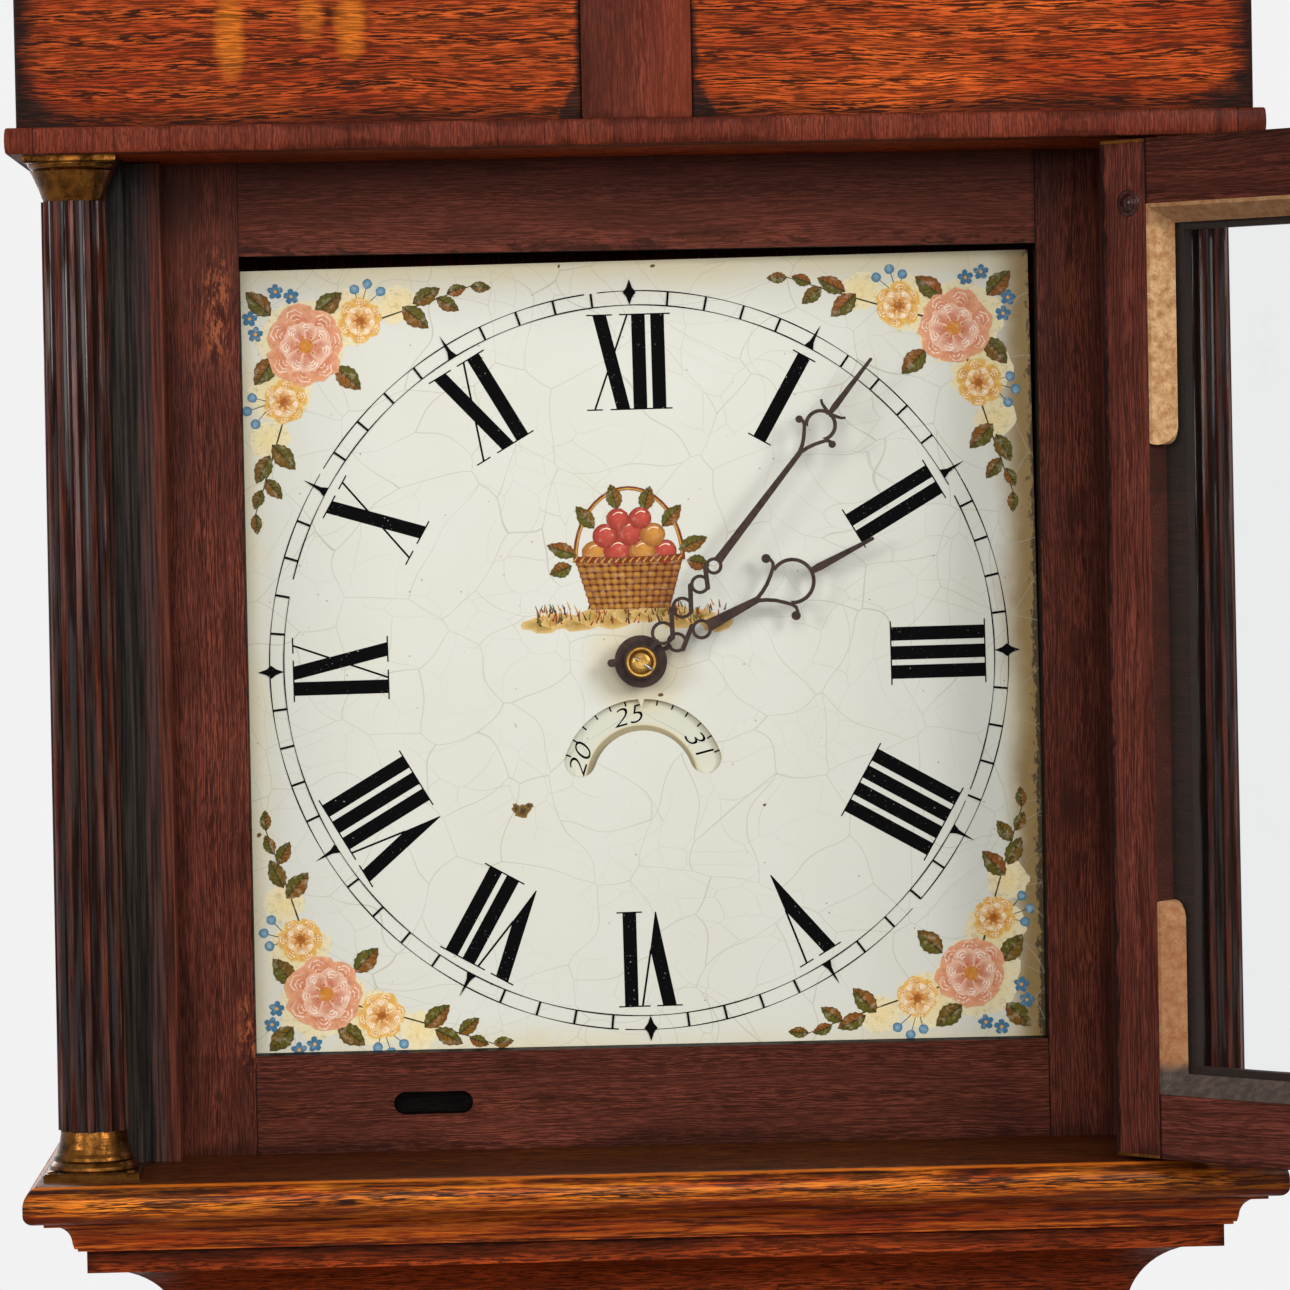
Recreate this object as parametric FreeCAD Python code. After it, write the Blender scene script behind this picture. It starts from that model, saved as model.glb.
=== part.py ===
import FreeCAD, Part
import math
import os

V = FreeCAD.Vector

# dial and its height above the floor
DIAL_Z = 1640.0
DIAL_SIZE = 304.8
DIAL_T = 1.6
DIAL_TILT = 0.6
DIAL_BEHIND_MASK = 12.0
DATE_DROP = 46.0
DATE_SLOT_R = 25.4
DATE_SLOT_W = 12.0
DATE_SLOT_HALF_DEG = 71.0
DATE_DISC_R = 34.0
DATE_TEETH = 31

# mask round the dial, in front of which all hood depths are counted
MASK_Y = -62.5
MASK_T = 11.0
OPEN_L = -149.0
OPEN_R = 152.6
OPEN_B = -146.6
OPEN_T = 156.0
SLOT_X = -82.0
SLOT_Z = -165.75
SLOT_LEN = 30.0
SLOT_H = 8.5

# hood carcase, heights counted from the dial centre
HOOD_TOP_OF_BASE = -184.0
HOOD_BASE_H = 26.3
SOFFIT_Z = 191.2
SOFFIT_T = 9.5
HOOD_BACK = 97.6
TRUNK_HALF = 174.0
MASK_HALF = TRUNK_HALF + 3.0
JAMB_IN = MASK_HALF + 13.0
SIDE_IN = JAMB_IN + 6.0
SIDE_OUT = SIDE_IN + 16.0
JAMB_FRONT = -34.0
STOP_FRONT = -18.0
SOFFIT_HALF = SIDE_OUT + 10.0
SOFFIT_FRONT = -66.0
BAND_P = 8.0
BAND_SWELL = 0.4
FRIEZE_HALF = SOFFIT_HALF + 3.8
FRIEZE_FRONT = SOFFIT_FRONT - 4.0
FRIEZE_T = 14.0
FRIEZE_H = 58.0
BLOCK_HALF = 20.0
CORNICE_H = 46.0
CORNICE_P = 36.0
NOSE_HALF = SIDE_OUT + 19.5
NOSE_FRONT = SOFFIT_FRONT - 15.0

# hood columns
COL_X = SIDE_OUT - 4.6
COL_Y = -47.5
COL_R_LOW = 12.9
COL_R_TOP = 11.7
COL_BASE_H = 17.0
COL_CAP_H = 16.2
PLINTH = 35.0

# hands, measured from the bore outward; each ring is (place, radius)
MINUTE_LEN = 144.6
MINUTE_HUB_R = 6.6
MINUTE_RINGS = ((45.6, 3.3), (36.9, 3.7), (25.8, 4.2), (13.7, 4.6))
MINUTE_LOOP_U = 112.6
MINUTE_LOOP_R = 6.2
HOUR_LEN = 100.4
HOUR_HUB_R = 10.0
HOUR_RINGS = ((26.2, 3.9), (15.6, 3.9))
HOUR_LOOP_U = 65.2
HOUR_LOOP_R = 8.9
LUG_DEG = 268.0
LUG_W = 3.0
LUG_OUT = 1.2
FLUTES = 12
FLUTE_R = 2.7
FLUTE_DEEP = 1.35

# hood door, drawn shut and then swung open about its pivot
DOOR_L = 2.5 - JAMB_IN
DOOR_R = JAMB_IN - 5.6
DOOR_B = -182.5
DOOR_TOP = 189.3
DOOR_T = 18.0
STILE_W = 20.4
RAIL_W = 23.7
REBATE_W = 9.6
LIP_T = 8.0
GLASS_T = 2.0
PIVOT_X = JAMB_IN - 2.6
PIVOT_Y = -48.0
PIVOT_R = 1.4
DOOR_OPEN = 136.0
PUTTY_GAP_LOW = -88.0
PUTTY_GAP_TOP = 78.0

# trunk and base
TRUNK_FRONT = -86.0
BACK_IN = 98.0
BACK_T = 12.0
BOARD_T = 16.0
FRAME_T = 18.0
THROAT_BOARD = 8.5
COVE = 36.0
BASE_TOP = 450.0
BASE_STEP = 24.0
BASE_HALF = TRUNK_HALF + BASE_STEP
BASE_FRONT = TRUNK_FRONT - BASE_STEP
SKIRT_H = 90.0
SKIRT_T = 8.0
FLOOR_Z = 0.0
TDOOR_HALF = 119.0
TDOOR_Z0 = 556.0
TDOOR_Z1 = 1326.0
TDOOR_LIP = 10.0
TOPEN_HALF = TDOOR_HALF - 6.0
THINGE_X = TDOOR_HALF + 4.5
THINGE_Y = TRUNK_FRONT - 3.5
THINGE_R = 3.0

# movement, heights counted from the dial centre
DIAL_GAP = 32.0
PLATE_T = 3.0
PLATE_SPACE = 62.0
PLATE_HALF = 58.0
PLATE_LOW = -105.0
PLATE_TOP = 64.0
GREAT_Z = -50.4
ESC_Z = 22.0
ESC_R = 20.0
ESC_TEETH = 30
M_TRAIN = 1.2
M_SECOND = 0.9
M_MOTION = 1.4
GREAT_N = 72
PINION_N = 6
SECOND_N = 60
DRIVE_N = 48
CANNON_N = 24
REPORT_N = 12
HOUR_N = 72
SEAT_T = 18.0
PEND_LEN = 994.0
BOB_R = 55.0
BOB_T = 24.0
MINUTE_DEG = 38.3
HOUR_DEG = 63.2

DIAL_Y = MASK_Y + DIAL_BEHIND_MASK
PLATE_Y = DIAL_Y + DIAL_T + DIAL_GAP
BACK_PLATE_Y = PLATE_Y + PLATE_T + PLATE_SPACE
PALLET_Z = ESC_Z + ESC_R * math.sqrt(2.0)
PEND_Y = BACK_PLATE_Y + PLATE_T + 20.4


def box(x0, x1, y0, y1, z0, z1):
    return Part.makeBox(x1 - x0, y1 - y0, z1 - z0, V(x0, y0, z0))


def rod_y(x, z, y0, y1, r):
    return Part.makeCylinder(r, y1 - y0, V(x, y0, z), V(0, 1, 0))


def rod_z(x, y, z0, z1, r):
    return Part.makeCylinder(r, z1 - z0, V(x, y, z0), V(0, 0, 1))


def poly_y(points, y0, y1):
    pts = [V(x, y0, z) for x, z in points]
    return Part.Face(Part.makePolygon(pts + [pts[0]])).extrude(V(0, y1 - y0, 0))


def poly_x(points, x0, x1):
    pts = [V(x0, y, z) for y, z in points]
    return Part.Face(Part.makePolygon(pts + [pts[0]])).extrude(V(x1 - x0, 0, 0))


def poly_z(points, z0, z1):
    pts = [V(x, y, z0) for x, y in points]
    return Part.Face(Part.makePolygon(pts + [pts[0]])).extrude(V(0, 0, z1 - z0))


def join(first, *rest):
    return first.multiFuse(list(rest)).removeSplitter()


def turned(points, x, y, z):
    """Solid of revolution about a vertical line; points are (radius, height)."""
    pts = [V(x + r, y, z + h) for r, h in points]
    face = Part.Face(Part.makePolygon(pts + [pts[0]]))
    return face.revolve(V(x, y, 0), V(0, 0, 1), 360)


def turned_y(points, x, z):
    """Solid of revolution about a line along Y; points are (radius, y)."""
    pts = [V(x + r, y, z) for r, y in points]
    face = Part.Face(Part.makePolygon(pts + [pts[0]]))
    return face.revolve(V(x, 0, z), V(0, 1, 0), 360)


def outline(start, steps, at):
    """Closed wire of lines and arcs; a step is an end point or a (mid, end) pair."""
    edges = []
    here = start
    for step in steps:
        if isinstance(step[0], tuple):
            mid, end = step
            edges.append(Part.Arc(at(*here), at(*mid), at(*end)).toShape())
        else:
            end = step
            edges.append(Part.makeLine(at(*here), at(*end)))
        here = end
    if here != start:
        edges.append(Part.makeLine(at(*here), at(*start)))
    return Part.Wire(edges)


def moulding(start, steps, half, front, back):
    """Mitred run along both sides and the front; profile in (projection, height)."""
    path = Part.makePolygon([V(half, back, 0), V(half, front, 0), V(-half, front, 0), V(-half, back, 0)])
    wire = outline(start, steps, lambda p, z: V(half + p, back, z))
    run = Part.BRepOffsetAPI.MakePipeShell(path)
    run.setTransitionMode(1)
    run.add(wire)
    run.build()
    run.makeSolid()
    return run.shape()


def toothed(n, m, add, ded, tip_share, root_share, x, z, y0, y1, phase):
    """Toothed disc about a line along Y; phase turns a tooth centre from +X towards +Z, degrees."""
    pitch = 360.0 / n
    r_out = n * m / 2.0 + add * m
    r_in = n * m / 2.0 - ded * m
    pts = []
    for i in range(n):
        mid = phase + i * pitch
        for r, off in ((r_in, -root_share), (r_out, -tip_share), (r_out, tip_share), (r_in, root_share)):
            a = math.radians(mid + off * pitch)
            pts.append((x + r * math.cos(a), z + r * math.sin(a)))
    return poly_y(pts, y0, y1)


def crossed(disc, x, z, y0, y1, r_hub, r_rim, arm, arms):
    """Cuts the crossings that leave straight arms between hub and rim."""
    ring = rod_y(x, z, y0 - 1, y1 + 1, r_rim).cut(rod_y(x, z, y0 - 2, y1 + 2, r_hub))
    for i in range(arms):
        a = 360.0 * i / arms
        spoke = box(x, x + r_rim + 2, y0 - 2, y1 + 2, z - arm / 2, z + arm / 2)
        spoke.rotate(V(x, 0, z), V(0, 1, 0), a)
        ring = ring.cut(spoke)
    return disc.cut(ring)


def wheel(n, m, x, z, y0, y1, phase):
    return toothed(n, m, 0.75, 1.25, 0.10, 0.24, x, z, y0, y1, phase)


def pinion(n, m, x, z, y0, y1, phase):
    return toothed(n, m, 0.55, 1.35, 0.10, 0.20, x, z, y0, y1, phase)


def save(name, shape):
    shape.exportStep("parts/" + name + ".step")


os.makedirs("parts", exist_ok=True)
SEAT_Z = DIAL_Z + PLATE_LOW
HB_TOP = DIAL_Z + HOOD_TOP_OF_BASE
HB_LOW = HB_TOP - HOOD_BASE_H
SOF_Z = DIAL_Z + SOFFIT_Z
SOF_TOP = SOF_Z + SOFFIT_T
FRZ_TOP = SOF_TOP + FRIEZE_H
NOSE_Y = MASK_Y + NOSE_FRONT

# case: back, trunk sides, front frame, mouldings and base
EAR = SIDE_OUT - 1.0
BACK_TOP = FRZ_TOP - 6.0
WELL = JAMB_IN - 2.0
INNER = BASE_HALF - BOARD_T
BACK_LOW = FLOOR_Z + 2.0
CHEEK_TOP = SEAT_Z - SEAT_T
back_outline = [
    (-INNER, BACK_LOW),
    (INNER, BACK_LOW),
    (INNER, BASE_TOP),
    (TRUNK_HALF, BASE_TOP),
    (TRUNK_HALF, HB_LOW),
    (EAR, HB_LOW),
    (EAR, BACK_TOP),
    (-EAR, BACK_TOP),
    (-EAR, HB_LOW),
    (-TRUNK_HALF, HB_LOW),
    (-TRUNK_HALF, BASE_TOP),
    (-INNER, BASE_TOP),
]
save("backboard", poly_y(back_outline, BACK_IN, BACK_IN + BACK_T))

TRUNK_LOW = BASE_TOP - 34.0
cheek = [
    (TRUNK_FRONT + FRAME_T, TRUNK_LOW),
    (BACK_IN, TRUNK_LOW),
    (BACK_IN, CHEEK_TOP),
    (MASK_Y + MASK_T + 6.0, CHEEK_TOP),
    (MASK_Y + MASK_T + 6.0, HB_LOW),
    (TRUNK_FRONT + FRAME_T, HB_LOW),
]
save("trunk_side_right", poly_x(cheek, TRUNK_HALF - BOARD_T, TRUNK_HALF))
save("trunk_side_left", poly_x(cheek, -TRUNK_HALF, BOARD_T - TRUNK_HALF))

frame = box(-TRUNK_HALF, TRUNK_HALF, TRUNK_FRONT, TRUNK_FRONT + FRAME_T, TRUNK_LOW, HB_LOW)
FRAME_BACK = TRUNK_FRONT + FRAME_T
doorway = box(-TOPEN_HALF, TOPEN_HALF, TRUNK_FRONT - 1, FRAME_BACK + 1, TDOOR_Z0 + 6, TDOOR_Z1 - 6)
save("trunk_front_frame", frame.cut(doorway))

throat_steps = [
    (COVE, HB_LOW),
    (COVE, HB_LOW - THROAT_BOARD),
    (COVE - 3.0, HB_LOW - THROAT_BOARD),
    ((COVE * 0.30, HB_LOW - THROAT_BOARD - COVE * 0.27), (3.0, HB_LOW - THROAT_BOARD - COVE + 3.0)),
    (5.0, HB_LOW - THROAT_BOARD - COVE + 1.0),
    ((7.5, HB_LOW - THROAT_BOARD - COVE - 2.0), (5.0, HB_LOW - THROAT_BOARD - COVE - 5.0)),
    (0.0, HB_LOW - THROAT_BOARD - COVE - 5.0),
]
throat = moulding((0.0, HB_LOW), throat_steps, TRUNK_HALF, TRUNK_FRONT, BACK_IN + BACK_T)
save("throat_moulding", throat)

STEP = BASE_STEP
base_steps = [
    (STEP, BASE_TOP),
    (STEP, BASE_TOP + 5.0),
    (STEP - 4.0, BASE_TOP + 5.0),
    ((STEP * 0.30, BASE_TOP + 14.0), (3.0, BASE_TOP + 27.0)),
    (3.0, BASE_TOP + 31.0),
    (0.0, BASE_TOP + 31.0),
]
save("base_moulding", moulding((0.0, BASE_TOP), base_steps, TRUNK_HALF, TRUNK_FRONT, BACK_IN + BACK_T))

BASE_BACK = BACK_IN + BACK_T
base_box = box(-BASE_HALF, BASE_HALF, BASE_FRONT, BASE_BACK, FLOOR_Z, BASE_TOP)
well = box(-INNER, INNER, BASE_FRONT + BOARD_T, BASE_BACK + 1, FLOOR_Z - 1, BASE_TOP + 1)
save("base_box", base_box.cut(well))
save("base_floor", box(-INNER, INNER, BASE_FRONT + BOARD_T, BACK_IN, FLOOR_Z, FLOOR_Z + BOARD_T))
skirt_steps = [
    (SKIRT_T, 0.0),
    (SKIRT_T, SKIRT_H - 10.0),
    ((SKIRT_T - 2.5, SKIRT_H - 3.5), (1.5, SKIRT_H - 1.5)),
    (0.0, SKIRT_H),
]
save("plinth_skirting", moulding((0.0, 0.0), skirt_steps, BASE_HALF, BASE_FRONT, BASE_BACK))

seat = box(-TRUNK_HALF, TRUNK_HALF, MASK_Y + MASK_T + 8.0, PEND_Y - 12.0, SEAT_Z - SEAT_T, SEAT_Z)
for sx in (-1, 1):
    seat = seat.cut(box(sx * 19.5 - 9.0, sx * 19.5 + 9.0, 4.0, 30.0, SEAT_Z - SEAT_T - 1, SEAT_Z + 1))
save("seatboard", seat)

# trunk door with its lipped edge, hinges and escutcheon
lip = box(-TDOOR_HALF, TDOOR_HALF, TRUNK_FRONT - TDOOR_LIP, TRUNK_FRONT, TDOOR_Z0, TDOOR_Z1)
front_edges = []
for e in lip.Edges:
    if all(abs(p.Point.y - (TRUNK_FRONT - TDOOR_LIP)) < 0.01 for p in e.Vertexes):
        front_edges.append(e)
lip = lip.makeFillet(6.0, front_edges)
IN_HALF = TOPEN_HALF - 1.5
panel = box(-IN_HALF, IN_HALF, TRUNK_FRONT, TRUNK_FRONT + 8.0, TDOOR_Z0 + 7.5, TDOOR_Z1 - 7.5)
tdoor = join(lip, panel)
HINGE_H = 64.0
hinge_z = (TDOOR_Z0 + 90.0, TDOOR_Z1 - 90.0 - HINGE_H)
for z in hinge_z:
    sink = box(TDOOR_HALF - 1.6, TDOOR_HALF + 1, TRUNK_FRONT - 6.5, TRUNK_FRONT + 1, z, z + HINGE_H)
    tdoor = tdoor.cut(sink)
KEY_X = -TDOOR_HALF + 26.0
KEY_Z = (TDOOR_Z0 + TDOOR_Z1) / 2.0
keyway = rod_y(KEY_X, KEY_Z, TRUNK_FRONT - 20, TRUNK_FRONT + 20, 3.2)
keyway = join(keyway, box(KEY_X - 1.4, KEY_X + 1.4, TRUNK_FRONT - 20, TRUNK_FRONT + 20, KEY_Z - 11.0, KEY_Z))
save("trunk_door", tdoor.cut(keyway))
plate = Part.makeCylinder(15.0, 1.2, V(KEY_X, TRUNK_FRONT - TDOOR_LIP - 1.2, KEY_Z + 8.0), V(0, 1, 0))
tail = [
    (KEY_X - 15.0, KEY_Z + 8.0),
    (KEY_X - 9.0, KEY_Z - 20.0),
    (KEY_X, KEY_Z - 28.0),
    (KEY_X + 9.0, KEY_Z - 20.0),
    (KEY_X + 15.0, KEY_Z + 8.0),
]
plate = join(plate, poly_y(tail, TRUNK_FRONT - TDOOR_LIP - 1.2, TRUNK_FRONT - TDOOR_LIP))
save("trunk_escutcheon", plate.cut(keyway))
for name, z in (("lower", hinge_z[0]), ("upper", hinge_z[1])):
    third = HINGE_H / 3.0
    pin_hole = rod_z(THINGE_X, THINGE_Y, z - 1, z + HINGE_H + 1, 1.3)
    za = z + third + 0.2
    zb = z + 2 * third - 0.2
    ear = rod_z(THINGE_X, THINGE_Y, za, zb, THINGE_R)
    flap = box(TDOOR_HALF - 1.6, THINGE_X - 2.0, THINGE_Y - 1.5, THINGE_Y + 1.5, za, zb)
    leaf = box(TDOOR_HALF - 1.6, TDOOR_HALF - 0.1, TRUNK_FRONT - 6.5, TRUNK_FRONT - 0.4, z, z + HINGE_H)
    save("trunk_hinge_door_" + name, join(leaf, flap, ear).cut(pin_hole))
    fixed = box(THINGE_X, THINGE_X + 16.0, TRUNK_FRONT - 1.5, TRUNK_FRONT, z, z + HINGE_H)
    fixed = fixed.cut(rod_z(THINGE_X, THINGE_Y, z + third, z + 2 * third, THINGE_R + 0.5))
    ends = [rod_z(THINGE_X, THINGE_Y, a, a + third, THINGE_R) for a in (z, z + 2 * third)]
    webs = [box(THINGE_X, THINGE_X + 3.0, THINGE_Y, TRUNK_FRONT, a, a + third) for a in (z, z + 2 * third)]
    core = rod_z(THINGE_X, THINGE_Y, z, z + HINGE_H, 1.24)
    save("trunk_hinge_frame_" + name, join(fixed, core, *(ends + webs)))

# hood base with its moulded nose, open at the back to pass the trunk cheeks
IN_X = TRUNK_HALF + 4.0
P0 = NOSE_HALF - IN_X
base_profile = [
    (P0 - 5.2, HB_TOP),
    ((P0 - 1.5, HB_TOP - 2.9), (P0, HB_TOP - 8.0)),
    (P0, HB_TOP - 9.8),
    ((P0 - 1.0, HB_TOP - 12.9), (P0 - 3.6, HB_TOP - 14.2)),
    (P0 - 7.0, HB_TOP - 14.2),
    (P0 - 7.0, HB_TOP - 15.7),
    (P0 - 9.5, HB_TOP - 15.7),
    ((P0 - 14.4, HB_TOP - 17.8), (P0 - 16.6, HB_TOP - 22.8)),
    (P0 - 17.3, HB_TOP - 25.2),
    (P0 - 18.4, HB_TOP - 25.2),
    (P0 - 18.4, HB_LOW),
    (0.0, HB_LOW),
]
hood_base = moulding((0.0, HB_TOP), base_profile, IN_X, NOSE_Y + P0, HOOD_BACK)
sill = box(-IN_X, IN_X, NOSE_Y + P0 - 0.5, MASK_Y + MASK_T, HB_LOW, HB_TOP)
hood_base = join(hood_base, sill)
PIV_Y = MASK_Y + PIVOT_Y
PIN_LEN = 8.0
hood_base = hood_base.cut(rod_z(PIVOT_X, PIV_Y, HB_TOP - PIN_LEN, HB_TOP + 1, PIVOT_R + 0.06))
save("hood_base", hood_base)

for name, s in (("left", -1), ("right", 1)):
    xs = sorted((s * SIDE_IN, s * SIDE_OUT))
    board = box(xs[0], xs[1], MASK_Y + JAMB_FRONT, HOOD_BACK, HB_TOP, SOF_Z)
    jamb = [
        (s * SIDE_IN, MASK_Y + JAMB_FRONT),
        (s * JAMB_IN, MASK_Y + JAMB_FRONT),
        (s * JAMB_IN, MASK_Y + STOP_FRONT),
        (s * MASK_HALF, MASK_Y + STOP_FRONT),
        (s * MASK_HALF, MASK_Y + MASK_T),
        (s * SIDE_IN, MASK_Y + MASK_T),
    ]
    save("hood_side_" + name, join(board, poly_z(jamb, HB_TOP, SOF_Z)))

mask = box(-MASK_HALF, MASK_HALF, MASK_Y, MASK_Y + MASK_T, HB_TOP, SOF_Z)
hole = box(OPEN_L, OPEN_R, MASK_Y - 1, MASK_Y + MASK_T + 1, DIAL_Z + OPEN_B, DIAL_Z + OPEN_T)
SLOT_R = SLOT_H / 2.0
slot_z = DIAL_Z + SLOT_Z
slot_ends = [SLOT_X + e * (SLOT_LEN / 2.0 - SLOT_R) for e in (-1, 1)]
recess = box(slot_ends[0], slot_ends[1], MASK_Y - 1, MASK_Y + 8.0, slot_z - SLOT_R, slot_z + SLOT_R)
recess = join(recess, *[rod_y(x, slot_z, MASK_Y - 1, MASK_Y + 8.0, SLOT_R) for x in slot_ends])
save("hood_mask", mask.cut(hole).cut(recess))

FRONT_Y = MASK_Y + SOFFIT_FRONT
soffit = box(-SOFFIT_HALF, SOFFIT_HALF, FRONT_Y, HOOD_BACK, SOF_Z, SOF_TOP)
soffit = soffit.cut(box(-WELL, WELL, MASK_Y + MASK_T, HOOD_BACK + 1, SOF_Z - 1, SOF_TOP + 1))
soffit = soffit.cut(rod_z(PIVOT_X, PIV_Y, SOF_Z - 1, SOF_Z + PIN_LEN - 2.0, PIVOT_R + 0.06))
save("hood_soffit", soffit)
band_steps = [
    (BAND_P - BAND_SWELL, SOF_Z),
    ((BAND_P, SOF_Z + SOFFIT_T / 2.0), (BAND_P - BAND_SWELL, SOF_TOP)),
    (0.0, SOF_TOP),
]
save("hood_band", moulding((0.0, SOF_Z), band_steps, SOFFIT_HALF, FRONT_Y, HOOD_BACK))

FRZ_Y = MASK_Y + FRIEZE_FRONT
frieze = box(-FRIEZE_HALF, FRIEZE_HALF, FRZ_Y, HOOD_BACK, SOF_TOP, FRZ_TOP)
core = FRIEZE_HALF - FRIEZE_T
frieze = frieze.cut(box(-core, core, FRZ_Y + FRIEZE_T, HOOD_BACK + 1, SOF_TOP - 1, FRZ_TOP + 1))
frieze = frieze.cut(box(-BLOCK_HALF, BLOCK_HALF, FRZ_Y - 1, FRZ_Y + 5.0, SOF_TOP - 1, FRZ_TOP + 1))
save("hood_frieze", frieze)
save("hood_frieze_block", box(-BLOCK_HALF, BLOCK_HALF, FRZ_Y - 1.6, FRZ_Y + 5.0, SOF_TOP, FRZ_TOP))

C = CORNICE_P
K = CORNICE_H
cornice_steps = [
    (3.0, FRZ_TOP),
    (3.0, FRZ_TOP + 4.0),
    ((C * 0.22, FRZ_TOP + K * 0.36), (C * 0.55, FRZ_TOP + K * 0.55)),
    (C * 0.62, FRZ_TOP + K * 0.55),
    (C * 0.62, FRZ_TOP + K * 0.62),
    ((C * 0.90, FRZ_TOP + K * 0.70), (C - 1.0, FRZ_TOP + K * 0.86)),
    (C, FRZ_TOP + K * 0.86),
    (C, FRZ_TOP + K),
    (-FRIEZE_T, FRZ_TOP + K),
    (-FRIEZE_T, FRZ_TOP),
]
cornice = moulding((-FRIEZE_T, FRZ_TOP), cornice_steps, FRIEZE_HALF, FRZ_Y, HOOD_BACK)
top_z = FRZ_TOP + K
dust = box(-core - 1.0, core + 1.0, FRZ_Y + FRIEZE_T - 1.0, HOOD_BACK, top_z - 10.0, top_z)
save("hood_cornice", join(cornice, dust))

# columns: fluted shafts between turned brass bases and capitals
for name, s in (("left", -1), ("right", 1)):
    cx = s * COL_X
    cy = MASK_Y + COL_Y
    behind = box(cx - 40, cx + 40, MASK_Y + JAMB_FRONT - 0.3, cy + 40, HB_TOP - 1, SOF_Z + 1)
    z0 = HB_TOP + COL_BASE_H
    z1 = SOF_Z - COL_CAP_H
    shaft = Part.makeCone(COL_R_LOW, COL_R_TOP, z1 - z0, V(cx, cy, z0), V(0, 0, 1))
    cutters = []
    for i in range(FLUTES):
        a = math.radians(360.0 * (i + 0.5) / FLUTES)
        d = V(math.cos(a), math.sin(a), 0)
        low = V(cx, cy, z0) + d * (COL_R_LOW + FLUTE_R - FLUTE_DEEP)
        top = V(cx, cy, z1) + d * (COL_R_TOP + FLUTE_R - FLUTE_DEEP)
        run = top - low
        cutters.append(Part.makeCylinder(FLUTE_R, run.Length + 4.0, low - run * (2.0 / run.Length), run))
    save("column_shaft_" + name, shaft.cut(cutters))
    h = COL_BASE_H
    foot = [
        (0.0, 2.4),
        (16.2, 2.4),
        (16.4, 3.3),
        (16.0, 4.3),
        (15.3, 5.2),
        (14.8, 5.8),
        (15.0, 6.6),
        (14.6, 7.7),
        (13.8, 9.1),
        (13.1, 10.8),
        (12.6, 12.8),
        (12.3, 14.8),
        (11.9, h),
        (0.0, h),
    ]
    half = PLINTH / 2.0
    plinth = box(cx - half, cx + half, cy - half, cy + half, HB_TOP, HB_TOP + 2.6)
    plinth = plinth.makeChamfer(0.7, [e for e in plinth.Edges if min(v.Z for v in e.Vertexes) > HB_TOP + 1])
    save("column_base_" + name, join(plinth, turned(foot, cx, cy, HB_TOP)).cut(behind))
    c = COL_CAP_H
    cap = [
        (0.0, 0.0),
        (11.0, 0.0),
        (11.2, 1.0),
        (11.9, 3.0),
        (12.9, 5.6),
        (14.0, 8.2),
        (15.0, 10.2),
        (15.5, 11.0),
        (15.0, 11.6),
        (15.7, 12.3),
        (16.3, 13.4),
        (16.3, c - 2.4),
        (0.0, c - 2.4),
    ]
    half_c = PLINTH / 2.0 - 0.6
    abacus = box(cx - half_c, cx + half_c, cy - half_c, cy + half_c, SOF_Z - 2.6, SOF_Z)
    abacus = abacus.makeChamfer(0.7, [e for e in abacus.Edges if max(v.Z for v in e.Vertexes) < SOF_Z - 1])
    save("column_capital_" + name, join(abacus, turned(cap, cx, cy, z1)).cut(behind))

# hood door: frame of four, glass, putty and pivot straps, swung open
DY0 = MASK_Y + STOP_FRONT - 0.3 - DOOR_T
DY1 = DY0 + DOOR_T
DB = DIAL_Z + DOOR_B
DT = DIAL_Z + DOOR_TOP
FULL_S = STILE_W + REBATE_W
FULL_R = RAIL_W + REBATE_W


def swing(shape):
    shape.rotate(V(PIVOT_X, PIV_Y, 0), V(0, 0, 1), DOOR_OPEN)
    return shape


pane_l = DOOR_L + STILE_W
pane_r = DOOR_R - STILE_W
pane_b = DB + RAIL_W
pane_t = DT - RAIL_W
rebate = box(pane_l, pane_r, DY0 + LIP_T, DY1 + 1, pane_b, pane_t)
sight = box(pane_l + REBATE_W, pane_r - REBATE_W, DY0 - 1, DY1 + 1, pane_b + REBATE_W, pane_t - REBATE_W)
bevel_pts = [
    V(DOOR_L + FULL_S - 3.0, DY0, DB + FULL_R - 3.0),
    V(DOOR_R - FULL_S + 3.0, DY0, DB + FULL_R - 3.0),
    V(DOOR_R - FULL_S + 3.0, DY0, DT - FULL_R + 3.0),
    V(DOOR_L + FULL_S - 3.0, DY0, DT - FULL_R + 3.0),
]
back_pts = []
for p in bevel_pts:
    dx = 3.0 if p.x < 0 else -3.0
    dz = 3.0 if p.z < DIAL_Z else -3.0
    back_pts.append(V(p.x + dx, DY0 + 4.0, p.z + dz))
bevel = Part.makeLoft([Part.makePolygon(q + [q[0]]) for q in (bevel_pts, back_pts)], True, True)
STRAP_T = 2.0
straps = []
for z in (DB, DT - STRAP_T):
    bar = [
        (PIVOT_X - 46.0, DY0 + 3.5),
        (PIVOT_X - 3.5, DY0 + 3.5),
        (PIVOT_X - 1.9, PIV_Y - 1.2),
        (PIVOT_X + 1.9, PIV_Y - 1.2),
        (PIVOT_X + 1.9, PIV_Y + 2.0),
        (PIVOT_X - 3.2, DY0 + 13.5),
        (PIVOT_X - 46.0, DY0 + 13.5),
    ]
    straps.append(join(poly_z(bar, z, z + STRAP_T), rod_z(PIVOT_X, PIV_Y, z, z + STRAP_T, 2.2)))
housing = straps[0].fuse(straps[1])
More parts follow.
